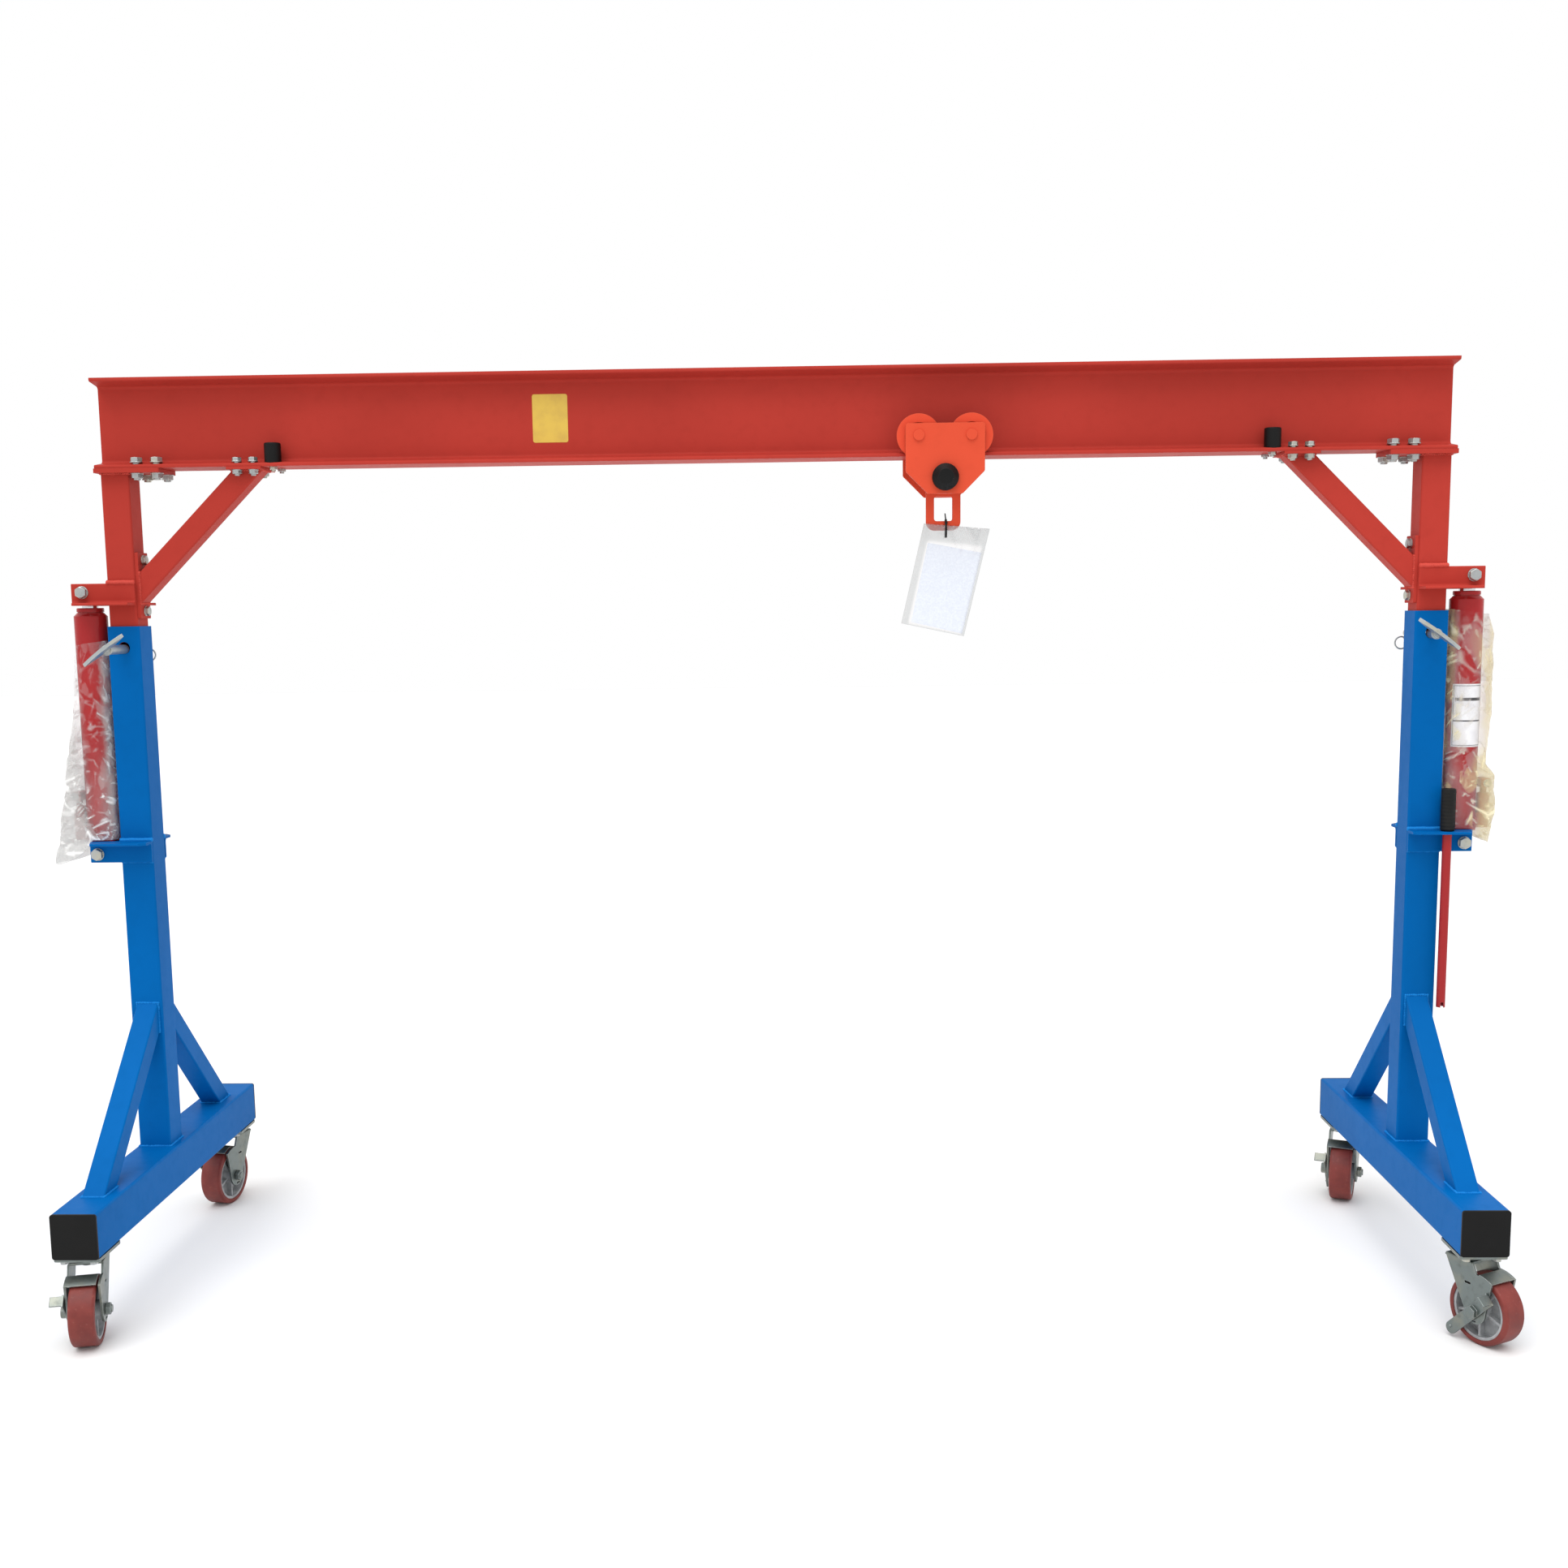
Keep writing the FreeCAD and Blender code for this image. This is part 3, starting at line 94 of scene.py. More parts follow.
class Finish:
    """A surface finish: one material with its shader, and the nodes that vary it."""

    def __init__(self, name, colour, roughness, metallic=0.0, **fixed):
        self.material = bpy.data.materials.new(name)
        self.material.use_nodes = True
        self.tree = self.material.node_tree
        self.shader = self.tree.nodes["Principled BSDF"]
        self.shader.inputs["Base Color"].default_value = (*colour, 1.0)
        self.shader.inputs["Roughness"].default_value = roughness
        self.shader.inputs["Metallic"].default_value = metallic
        for name_of_socket, value in fixed.items():
            self.shader.inputs[name_of_socket.replace("_", " ")].default_value = value

    def node(self, kind, settings, inputs, output):
        made = self.tree.nodes.new(kind)
        for setting, value in settings.items():
            setattr(made, setting, value)
        for key, value in inputs.items():
            self.feed(made.inputs[key], value)
        return Shade(self, made.outputs[output])

    def feed(self, socket, value):
        if isinstance(value, Shade):
            self.tree.links.new(value.socket, socket)
        else:
            socket.default_value = value

    def wear(self, **varying):
        """Feeds the shader's sockets that change over the surface."""
        for name, value in varying.items():
            self.feed(self.shader.inputs[name.replace("_", " ")], value)

    def place(self):
        return self.node("ShaderNodeTexCoord", {}, {}, "Object")

    def cloud(self, scale, detail=3.0, stretch=(1.0, 1.0, 1.0)):
        """Soft noise over the object, 0 to 1; scale is its number of patches to a metre."""
        spot = self.node("ShaderNodeMapping", {}, {"Vector": self.place(), "Scale": stretch}, 0)
        inputs = {"Vector": spot, "Scale": scale, "Detail": detail, "Roughness": 0.55}
        return self.node("ShaderNodeTexNoise", {}, inputs, 0)

    def blend(self, factor, first, second):
        """The first colour where factor is 0, the second where it is 1."""
        first = first if isinstance(first, Shade) else (*first, 1.0)
        second = second if isinstance(second, Shade) else (*second, 1.0)
        return self.node("ShaderNodeMix", {"data_type": "RGBA"}, {0: factor, 6: first, 7: second}, 2)

    def rounded(self, radius):
        """The surface's direction as if its sharp edges were rounded."""
        return self.node("ShaderNodeBevel", {"samples": 4}, {"Radius": radius}, 0)

    def edges(self, radius):
        """1 along sharp edges, 0 on the flats."""
        true = self.node("ShaderNodeNewGeometry", {}, {}, "Normal")
        vectors = {0: self.rounded(radius), 1: true}
        match = self.node("ShaderNodeVectorMath", {"operation": "DOT_PRODUCT"}, vectors, "Value")
        return ((1.0 - match) * 4.0).capped()

    def relief(self, height, strength, depth, normal=None):
        """Lifts the surface by height, 0 to 1, over depth metres."""
        inputs = {"Height": height, "Strength": strength, "Distance": depth}
        if normal is not None:
            inputs["Normal"] = normal
        self.wear(Normal=self.node("ShaderNodeBump", {}, inputs, 0))


def shade(red, green, blue):
    """A colour as it is seen, 0 to 255, turned into the linear light that a shader wants."""
    seen = (red, green, blue)
    return tuple(((c / 255.0 + 0.055) / 1.055) ** 2.4 if c > 10 else c / 3294.6 for c in seen)


def darker(colour, share):
    return tuple(c * share for c in colour)


def select_only(*pieces):
    bpy.ops.object.select_all(action="DESELECT")
    for piece in pieces:
        piece.select_set(True)
    if pieces:
        bpy.context.view_layer.objects.active = pieces[0]


def settled(piece, name, finish):
    """Names a new piece, writes its place into its mesh and gives it its finish."""
    select_only(piece)
    bpy.ops.object.transform_apply(location=True, rotation=True, scale=True)
    piece.name = name
    piece.data.materials.clear()
    piece.data.materials.append(finish.material)
    return piece


def shaped(piece, kind, **settings):
    """Gives the active piece one modifier with its settings, and applies it."""
    modifier = piece.modifiers.new(kind.lower(), kind)
    for setting, value in settings.items():
        setattr(modifier, setting, value)
    bpy.ops.object.modifier_apply(modifier=modifier.name)


def block(size, location):
    """A box of a size, centred on a place."""
    select_only()
    bpy.ops.mesh.primitive_cube_add(size=1.0, location=location)
    made = bpy.context.object
    made.scale = size
    return made


def fine_cube(cuts):
    """A unit cube whose faces are cut into small squares, ready to be bent to shape."""
    select_only()
    bpy.ops.mesh.primitive_cube_add(size=1.0)
    bpy.ops.object.mode_set(mode="EDIT")
    bpy.ops.mesh.subdivide(number_cuts=cuts)
    bpy.ops.object.mode_set(mode="OBJECT")
    return bpy.context.object


def round_edges(piece, axis, radius):
    """Rounds the edges of a piece that run along one axis: 0, 1 or 2."""
    bpy.ops.object.mode_set(mode="EDIT")
    bpy.ops.mesh.select_mode(type="EDGE")
    bpy.ops.mesh.select_all(action="DESELECT")
    bpy.ops.object.mode_set(mode="OBJECT")
    crosswise = [other for other in range(3) if other != axis]
    for edge in piece.data.edges:
        a, b = (piece.data.vertices[i].co for i in edge.vertices)
        edge.select = all(abs(a[other] - b[other]) < 1e-6 for other in crosswise)
    bpy.ops.object.mode_set(mode="EDIT")
    bpy.ops.mesh.bevel(offset=radius, segments=5, affect="EDGES")
    bpy.ops.object.mode_set(mode="OBJECT")


select_only()
bpy.ops.mesh.primitive_plane_add(size=60.0)
pale_floor = Finish("pale_floor", (0.80, 0.80, 0.80), 0.75, Specular_IOR_Level=0.1)
pale_floor.wear(Roughness=0.7 + 0.1 * pale_floor.cloud(3.0))
floor = settled(bpy.context.object, "floor", pale_floor)

sky = bpy.data.worlds.new("pale_sky")
sky.use_nodes = True
sky.node_tree.nodes["Background"].inputs["Color"].default_value = (1.0, 1.0, 1.0, 1.0)
sky.node_tree.nodes["Background"].inputs["Strength"].default_value = 1.0
bpy.context.scene.world = sky
bpy.context.scene.view_settings.view_transform = "Standard"

lamp_data = bpy.data.lights.new("broad_lamp", "SUN")
lamp_data.energy = 1.9
lamp_data.angle = math.radians(50.0)
broad_lamp = bpy.data.objects.new("broad_lamp", lamp_data)
broad_lamp.rotation_euler = Vector((0.15, 0.38, -0.91)).to_track_quat("-Z", "Y").to_euler()
bpy.context.scene.collection.objects.link(broad_lamp)

camera_data = bpy.data.cameras.new("camera")
camera_data.lens = 38.52
camera_data.sensor_width = 36.0
camera_data.shift_x = 0.0033
camera_data.shift_y = 0.0301
camera = bpy.data.objects.new("camera", camera_data)
yaw, pitch, roll = 0.0270, -0.1303, -0.0124
level = Vector((math.cos(yaw), math.sin(yaw), 0.0))
forward = Vector((-math.sin(yaw) * math.cos(pitch), math.cos(yaw) * math.cos(pitch), math.sin(pitch)))
upward = level.cross(forward)
rightward = level * math.cos(roll) + upward * math.sin(roll)
topward = upward * math.cos(roll) - level * math.sin(roll)
camera.matrix_world = Matrix((rightward, topward, -forward)).transposed().to_4x4()
camera.location = (0.116, -3.8505, 1.545)
bpy.context.scene.collection.objects.link(camera)
bpy.context.scene.camera = camera


# ------------------------------------------------------------------ painted steel
# Beam, posts, plates, braces, struts and base tubes are mild steel sprayed with air-drying enamel,
# red above and blue below. The coat has a faint orange peel, and a lighter colour is painted in
# patches along its sharp edges as a painted highlight.
def enamel(name, colour, edge_colour, roughness):
    paint = Finish(name, colour, roughness, Specular_IOR_Level=0.03)
    broad = paint.cloud(1.7, 2.0)
    dust = paint.cloud(38.0, 5.0)
    peel = paint.cloud(420.0, 2.0)
    # a lighter colour painted in patches along sharp edges: a painted highlight
    edge_highlight = (paint.edges(0.0016) * (0.35 + 0.65 * paint.cloud(70.0, 4.0))).capped()
    deep = paint.blend(broad.between(0.35, 0.65), darker(colour, 0.93), darker(colour, 1.05))
    grainy = paint.blend(dust.between(0.45, 0.75) * 0.22, deep, darker(colour, 0.80))
    paint.wear(Base_Color=paint.blend(edge_highlight, grainy, edge_colour))
    paint.wear(Roughness=(roughness - 0.06) + 0.14 * dust)
    paint.relief(peel * 0.6 + dust * 0.4, 0.22, 0.0006, paint.rounded(0.0018))
    return paint


# each enamel's second colour is its painted highlight along sharp edges
red_enamel = enamel("red_enamel", shade(172, 57, 48), shade(206, 80, 70), 0.42)
blue_enamel = enamel("blue_enamel", shade(0, 92, 162), shade(30, 126, 208), 0.42)
orange_enamel = enamel("orange_enamel", shade(214, 80, 55), shade(236, 112, 82), 0.38)


def coat(finish, *nodes):
    """Gives CAD nodes a finish in place of their plain one."""
    for node in nodes:
        for material_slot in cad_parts[node].material_slots:
            material_slot.material = finish.material


red_steel = ("inner_post", "flange_plates", "brace", "upper_brackets")
blue_steel = ("base_tube", "outer_post", "struts", "lower_brackets")
coat(red_enamel, "beam")
for side in sides:
    coat(red_enamel, *(f"{side}_{piece}" for piece in red_steel))
    coat(blue_enamel, *(f"{side}_{piece}" for piece in blue_steel))


# ------------------------------------------------------------------ weld beads
# Fillet welds hold the posts, struts, braces and angles together: each is a row of overlapping
# puddles of weld metal, painted over with the steel around it. Their enamel is a lighter copy of the
# steel's, a painted highlight for the light that the rounded beads catch.
bead_pitch = 0.0042
bead_width = 0.0065
angle_bead = 0.0115                             # wide run over an angle
root_bead = 0.005                               # thin run under an angle
# lighter copies of the red and blue enamel: painted highlight on the beads
red_weld_highlight = enamel("red_weld_highlight_enamel", shade(196, 74, 64), shade(216, 96, 86), 0.36)
blue_weld_highlight = enamel("blue_weld_highlight_enamel", shade(24, 122, 198), shade(50, 146, 222), 0.36)


def weld_bead(start, end, width):
    """One straight bead from start to end: a flattened puddle, repeated along the joint."""
    run = Vector(end) - Vector(start)
    select_only()
    bpy.ops.mesh.primitive_ico_sphere_add(subdivisions=2, radius=width / 2)
    bead = bpy.context.object
    bead.scale = (0.72, 1.0, 1.0)
    bpy.ops.object.transform_apply(location=False, rotation=False, scale=True)
    puddles = max(2, round(run.length / bead_pitch) + 1)
    shaped(
        bead,
        "ARRAY",
        count=puddles,
        use_relative_offset=False,
        use_constant_offset=True,
        constant_offset_displace=(run.length / (puddles - 1), 0.0, 0.0),
    )
    bead.rotation_euler = run.to_track_quat("X", "Z").to_euler()
    bead.location = start
    bpy.ops.object.transform_apply(location=True, rotation=True, scale=True)
    return bead


def weld_round(corners):
    """Beads along the edges of a closed outline."""
    return [weld_bead(a, b, bead_width) for a, b in zip(corners, corners[1:] + corners[:1])]


def weld_across(low, high, inset, face, height, width):
    """One bead across a post's face, from inset within its left edge to inset within its right one."""
    return weld_bead((low[0] + inset, face, height), (high[0] - inset, face, height), width)


def flat_outline(low, high, height):
    """The four corners of a box's plan, at a height."""
    return [
        (low[0], low[1], height),
        (high[0], low[1], height),
        (high[0], high[1], height),
        (low[0], high[1], height),
    ]


def joined_welds(name, beads, finish, body):
    """Joins beads into one piece, and makes the puddles a little uneven."""
    select_only(*beads)
    bpy.ops.object.join()
    welds = settled(bpy.context.object, name, finish)
    lumps = bpy.data.textures.new(name + "_lumps", "CLOUDS")
    lumps.noise_scale = 0.009
    shaped(welds, "DISPLACE", texture=lumps, texture_coords="LOCAL", strength=0.0022)
    bpy.ops.object.shade_smooth()
    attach(welds, body)


for side, sign in sides.items():
    inner_low, inner_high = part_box(f"{side}_inner_post")
    outer_low, outer_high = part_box(f"{side}_outer_post")
    brace_low, brace_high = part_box(f"{side}_brace")
    strut_low, strut_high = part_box(f"{side}_struts")
    upper_low, upper_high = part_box(f"{side}_upper_brackets")
    lower_low, lower_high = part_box(f"{side}_lower_brackets")
    base_top = outer_low[2]

    # the inner post under its plate, the brace at both its ends, and the upper angles
    red_beads = weld_round(flat_outline(inner_low, inner_high, inner_high[2]))
    brace_foot = (brace_high[1] - brace_low[1]) * math.sqrt(2.0)
    outer_end = brace_high[0] if sign > 0 else brace_low[0]
    inner_end = brace_low[0] if sign > 0 else brace_high[0]
    top_ends = [(x, y, brace_high[2]) for x, y in (
        (inner_end, brace_low[1]),
        (inner_end + sign * brace_foot, brace_low[1]),
        (inner_end + sign * brace_foot, brace_high[1]),
        (inner_end, brace_high[1]),
    )]
    low_ends = [(outer_end, y, z) for y, z in (
        (brace_low[1], brace_low[2]),
        (brace_high[1], brace_low[2]),
        (brace_high[1], brace_low[2] + brace_foot),
        (brace_low[1], brace_low[2] + brace_foot),
    )]
    red_beads += weld_round(top_ends) + weld_round(low_ends)
    over_angle = upper_high[2] + 0.002
    for face in (inner_low[1] - 0.004, inner_high[1] + 0.004):
        red_beads.append(weld_across(inner_low, inner_high, 0.003, face, over_angle, angle_bead))
    joined_welds(f"{side}_upper_welds", red_beads, red_weld_highlight, "upper_frame")

    # the outer post and both struts on the base tube, the struts on the post, and the lower angles
    blue_beads = weld_round(flat_outline(outer_low, outer_high, base_top))
    over_angle = lower_high[2] + 0.002
    strut_rise = strut_high[2] - base_top
    for face, toe in ((outer_low[1], strut_low[1]), (outer_high[1], strut_high[1])):
        strut_run = abs(toe - face)
        slope = math.atan2(strut_rise, strut_run)
        across = strut_high[0] - strut_low[0]
        head_height = across / math.cos(slope)
        foot_length = across / math.sin(slope)
        inward = math.copysign(foot_length, face - toe)
        x0, x1 = strut_low[0], strut_high[0]
        heads = [(x0, face, strut_high[2]), (x1, face, strut_high[2])]
        heads += [(x1, face, strut_high[2] - head_height), (x0, face, strut_high[2] - head_height)]
        feet = [(x0, toe, base_top), (x1, toe, base_top)]
        feet += [(x1, toe + inward, base_top), (x0, toe + inward, base_top)]
        blue_beads += weld_round(heads) + weld_round(feet)
        blue_beads.append(weld_across(outer_low, outer_high, 0.002, face, over_angle, angle_bead))
        blue_beads.append(weld_across(outer_low, outer_high, 0.002, face, lower_low[2], root_bead))
    joined_welds(f"{side}_lower_welds", blue_beads, blue_weld_highlight, f"{side}_leg")


# ------------------------------------------------------------------ bolts and pins
# Bolts and locking pins are steel with a bright zinc plating: cool grey, a little cloudy, with a
# faint yellow cast where the passivation is thicker.
def plating(name, tone, pale, warm, dull, rim):
    """Zinc plating: a tone that drifts between pale and warm, duller in clouds, with a painted highlight
    at the rims.
    """
    plated = Finish(name, tone, 0.36, 0.85)
    cloudy = plated.cloud(55.0, 4.0)
    tinted = plated.blend(plated.cloud(18.0, 3.0).between(0.42, 0.68), pale, warm)
    dulled = plated.blend(cloudy.between(0.5, 0.8) * 0.5, tinted, dull)
    # rim is a paler colour painted along sharp edges: a painted highlight
    plated.wear(Base_Color=plated.blend(plated.edges(0.0010), dulled, rim))
    plated.wear(Roughness=0.24 + 0.26 * cloudy)
    plated.relief(plated.cloud(340.0, 3.0), 0.15, 0.0004, plated.rounded(0.0009))
    return plated


bright_zinc = plating(
    "bright_zinc",
    shade(172, 175, 172),
    shade(168, 172, 172),
    shade(180, 178, 164),
    shade(112, 116, 114),
    shade(226, 228, 226),
)
coat(bright_zinc, "frame_bolts")
for side in sides:
    coat(bright_zinc, f"{side}_lock_pin", f"{side}_leg_bolts")


# ------------------------------------------------------------------ casters
# Four swivel casters: a pressed fork on a ball race, a grey cast core with a brown-red polyurethane
# tread moulded on it, and a brake lever bent from flat bar. The pressings are plated dull grey.
dull_zinc = plating(
    "dull_zinc",
    shade(122, 129, 126),
    shade(116, 124, 122),
    shade(132, 134, 124),
    shade(82, 88, 86),
    shade(214, 218, 216),
)
cast_grey = Finish("cast_core", shade(156, 158, 160), 0.55, 0.1)
cast_cloud = cast_grey.cloud(60.0, 4.0)
cast_tone = cast_grey.blend(cast_cloud.between(0.3, 0.7), shade(140, 142, 144), shade(170, 172, 174))
# a paler grey painted along the core's sharp edges: a painted highlight
cast_grey.wear(Base_Color=cast_grey.blend(cast_grey.edges(0.0014), cast_tone, shade(204, 206, 208)))
cast_grey.wear(Roughness=0.45 + 0.25 * cast_cloud)
cast_grey.relief(cast_grey.cloud(230.0, 4.0), 0.35, 0.0008, cast_grey.rounded(0.0015))

tread_rubber = Finish("moulded_tread", shade(116, 48, 44), 0.46, Specular_IOR_Level=0.3)
tread_cloud = tread_rubber.cloud(26.0, 4.0)
tread_tone = tread_rubber.blend(tread_cloud.between(0.3, 0.72), shade(107, 43, 39), shade(126, 54, 48))
scuffs = tread_rubber.cloud(120.0, 5.0).between(0.60, 0.74) * 0.35
tread_rubber.wear(Base_Color=tread_rubber.blend(scuffs, tread_tone, shade(150, 92, 82)))
tread_rubber.wear(Roughness=0.38 + 0.25 * tread_cloud)
tread_rubber.relief(tread_rubber.cloud(300.0, 3.0), 0.2, 0.0005, tread_rubber.rounded(0.002))

for side in sides:
    coat(dull_zinc, f"{side}_caster_plates")
casters = [f"{depth}_{side}" for depth in ("front", "back") for side in sides]
for caster in casters:
    coat(dull_zinc, f"fork_{caster}", f"brake_lever_{caster}")
    coat(cast_grey, f"wheel_core_{caster}")
    coat(tread_rubber, f"tread_{caster}")


# ------------------------------------------------------------------ black plastic and rubber
# End caps in the base tubes, the rubber stops on the beam, the caps on the hanger shaft and the grip
# on the spare jack handle are all black mouldings with a fine matt grain.
def moulding(name, colour, roughness):
    plastic = Finish(name, colour, roughness, Specular_IOR_Level=0.18)
    patchy = plastic.cloud(22.0, 4.0)
    toned = plastic.blend(patchy.between(0.3, 0.75), darker(colour, 0.8), darker(colour, 1.4))
    # a grey painted along sharp edges: a painted highlight
    plastic.wear(Base_Color=plastic.blend(plastic.edges(0.0012) * 0.6, toned, shade(62, 62, 62)))
    plastic.wear(Roughness=roughness - 0.08 + 0.2 * patchy)
    return plastic


black_plastic = moulding("black_plastic", shade(11, 11, 11), 0.5)
black_plastic.relief(black_plastic.cloud(900.0, 2.0), 0.25, 0.0004, black_plastic.rounded(0.002))
coat(black_plastic, "trolley_stops", "trolley_caps", "left_end_caps", "right_end_caps")

ribbed_grip = moulding("ribbed_grip", shade(24, 24, 23), 0.6)
rib_wave = {"Vector": ribbed_grip.place(), "Scale": 38.0, "Distortion": 0.0, "Detail": 0.0}
ribs = ribbed_grip.node("ShaderNodeTexWave", {"bands_direction": "Z"}, rib_wave, "Fac")
ribbed_grip.relief(ribs * 0.8 + ribbed_grip.cloud(600.0) * 0.2, 0.7, 0.001, ribbed_grip.rounded(0.002))
coat(ribbed_grip, "handle_grip")


# ------------------------------------------------------------------ labels
# One blank yellow label sits on the beam's web, left of the middle. It is a printed film with
# rounded corners, stuck on over the paint.
def sticker_finish(name, colour, edge_colour):
    print_film = Finish(name, colour, 0.32, Specular_IOR_Level=0.5)
    faded = print_film.cloud(30.0, 4.0)
    print_film.wear(Base_Color=print_film.blend(faded.between(0.35, 0.8), colour, edge_colour))
    print_film.wear(Roughness=0.26 + 0.16 * faded)
    print_film.relief(print_film.cloud(160.0, 3.0), 0.12, 0.0004)
    return print_film


yellow_label = sticker_finish("yellow_label", shade(214, 180, 70), shade(200, 164, 68))
beam_low, beam_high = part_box("beam")
web_middle = (beam_low[1] + beam_high[1]) / 2
half_web = 0.0035
label_width, label_height, label_lift = 0.080, 0.107, 0.0003
label_x, label_z = -0.495, beam_low[2] + 0.1005
label_place = (label_x, web_middle - half_web - label_lift / 2, label_z)
beam_label = block((label_width, label_lift, label_height), label_place)
settled(beam_label, "beam_label", yellow_label)
round_edges(beam_label, 1, 0.005)
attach(beam_label, "upper_frame")


# ------------------------------------------------------------------ jacks
# Two long-ram hydraulic jacks: a red enamelled cylinder, glossier than the frame, with a chromed ram.
# The right one carries a white label with a thin border and two plain bars, wrapped on the cylinder.
jack_red = enamel("jack_enamel", shade(158, 36, 38), shade(196, 84, 80), 0.26)
jack_red.shader.inputs["Coat Weight"].default_value = 0.35
jack_red.shader.inputs["Coat Roughness"].default_value = 0.12
coat(jack_red, "left_jack_body", "right_jack_body", "jack_handle")

chrome = Finish("chromed_ram", shade(214, 216, 218), 0.1, 1.0)
chrome.wear(Roughness=0.07 + 0.1 * chrome.cloud(70.0, 3.0, (1.0, 1.0, 6.0)))
chrome.relief(chrome.cloud(500.0, 2.0, (0.2, 0.2, 3.0)), 0.06, 0.0002)
coat(chrome, "left_jack_ram", "right_jack_ram")

cylinder_radius = 0.037
jack_low, jack_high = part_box("right_jack_body")
jack_axis = Vector((jack_low[0] + cylinder_radius, (jack_low[1] + jack_high[1]) / 2, 0.0))
tag_turn = (math.radians(-57.0), math.radians(66.0))
tag_low, tag_high = jack_low[2] + 0.237, jack_low[2] + 0.380
tag_columns, tag_rows = 30, 40


def wrapped_patch(name, turn, low, high, lift, columns, rows, finish):
    """A thin film on the cylinder's front, between two angles and two heights."""
    select_only()
    bpy.ops.mesh.primitive_grid_add(x_subdivisions=columns, y_subdivisions=rows, size=1.0)
    patch = bpy.context.object
    for vertex in patch.data.vertices:
        angle = turn[0] + (turn[1] - turn[0]) * (vertex.co.x + 0.5)
        height = low + (high - low) * (vertex.co.y + 0.5)
        radius = cylinder_radius + lift
        vertex.co = jack_axis + Vector((radius * math.sin(angle), -radius * math.cos(angle), height))
    settled(patch, name, finish)
    shaped(patch, "SOLIDIFY", thickness=0.00015, offset=-1.0)
    bpy.ops.object.shade_smooth()
    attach(patch, "right_leg")
    return patch


white_label = sticker_finish("white_label", shade(232, 232, 234), shade(214, 214, 218))
dark_print = sticker_finish("dark_print", shade(52, 52, 56), shade(70, 70, 74))
wrapped_patch("jack_label", tag_turn, tag_low, tag_high, 0.0003, tag_columns, tag_rows, white_label)
border_inset, border_width = 0.0035, 0.0012
inset_turn = border_inset / cylinder_radius
border_turn = border_width / cylinder_radius
print_turn = (tag_turn[0] + inset_turn, tag_turn[1] - inset_turn)
print_low, print_high = tag_low + border_inset, tag_high - border_inset
for number, (turn, low, high) in enumerate((
    (print_turn, print_low, print_low + border_width),
    (print_turn, print_high - border_width, print_high),
    ((print_turn[0], print_turn[0] + border_turn), print_low, print_high),
    ((print_turn[1] - border_turn, print_turn[1]), print_low, print_high),
    ((print_turn[0] + 0.10, print_turn[1] - 0.10), tag_high - 0.038, tag_high - 0.031),
    (print_turn, tag_low + 0.058, tag_low + 0.061),
)):
    wrapped_patch(f"jack_label_line_{number}", turn, low, high, 0.0005, 24, 6, dark_print)


# ------------------------------------------------------------------ film bags
# Each jack still stands in the clear polythene bag it came in: a thin loose tube, crumpled and
# clinging to the cylinder, slack over the pump and hanging past the end of the lower angles.
def film(name, clear, milky, flat=(0.62, 0.58, 0.58)):
    """Thin film: clear where it lies flat, milky where it hangs loose, white along its creases."""
    sheet = Finish(name, clear, 0.16, Specular_IOR_Level=0.5)
    crease = sheet.node("ShaderNodeAttribute", {"attribute_name": "crease"}, {}, "Fac")
    haze = sheet.node("ShaderNodeAttribute", {"attribute_name": "haze"}, {}, "Fac")
    streak = sheet.cloud(60.0, 5.0, (1.0, 1.0, 0.35)).between(0.60, 0.72)
    body = sheet.blend(haze.between(0.22, 0.5), flat, clear)
    sheet.wear(Base_Color=sheet.blend((crease + streak * 0.3).capped(), body, milky))
    sheet.wear(Alpha=(0.006 + haze * 0.42 + crease * 0.80 + streak * haze * 0.25).capped())
    sheet.wear(Roughness=0.12 + 0.15 * streak)
    sheet.relief(sheet.cloud(90.0, 4.0, (1.0, 1.0, 0.6)), 0.4, 0.002)
    return sheet


def ramp(value, low, high):
    """0 up to low, 1 from high on, and straight between them; low may be the greater."""
    return min(1.0, max(0.0, (value - low) / (high - low)))


noise.seed_set(5)                               # without it each run would fold the film otherwise


def crumple(point, seed, size):
    """Crumpled film at a point: how near the next fold is, 0 to 1, and its facet's own milkiness."""
    bent = point + noise.noise_vector(point * 18.0) * 0.012
    spot = Vector((bent.x / size, bent.y / size, bent.z / size * 0.5)) + Vector((seed, seed * 2.0, 0.0))
    distances, centres = noise.voronoi(spot)
    fold = max(0.0, 1.0 - (distances[1] - distances[0]) * 3.0)
    return fold, 0.5 + 0.5 * noise.cell(centres[0] * 7.3)


def streaks(round_at, height, seed, pitch, lean):
    """Short straight streaks in the film, 0 to 1, that lean by an angle and come and go."""
    across = (round_at * math.cos(lean) + height * math.sin(lean)) / pitch
    along = (height * math.cos(lean) - round_at * math.sin(lean)) / (pitch * 5.0)
    line = max(0.0, 1.0 - abs(noise.noise(Vector((across, along, seed)))) * 7.0)
    return line * ramp(noise.noise(Vector((across * 0.6, along * 1.4, seed + 7.0))), 0.02, 0.28)


def mark(piece, name, values):
    attribute = piece.data.attributes.new(name, "FLOAT", "POINT")
    for number, value in enumerate(values):
        attribute.data[number].value = value


bag_columns, bag_rows = 120, 190
bag_radius = 0.045                              # round figure, for laying folds out over the film
snug_reach = 0.044                              # beyond this the film hangs loose
post_reach = 0.0500                             # as far as it may come towards the post
film_gap = 0.0012                               # least space between the cylinder and the film
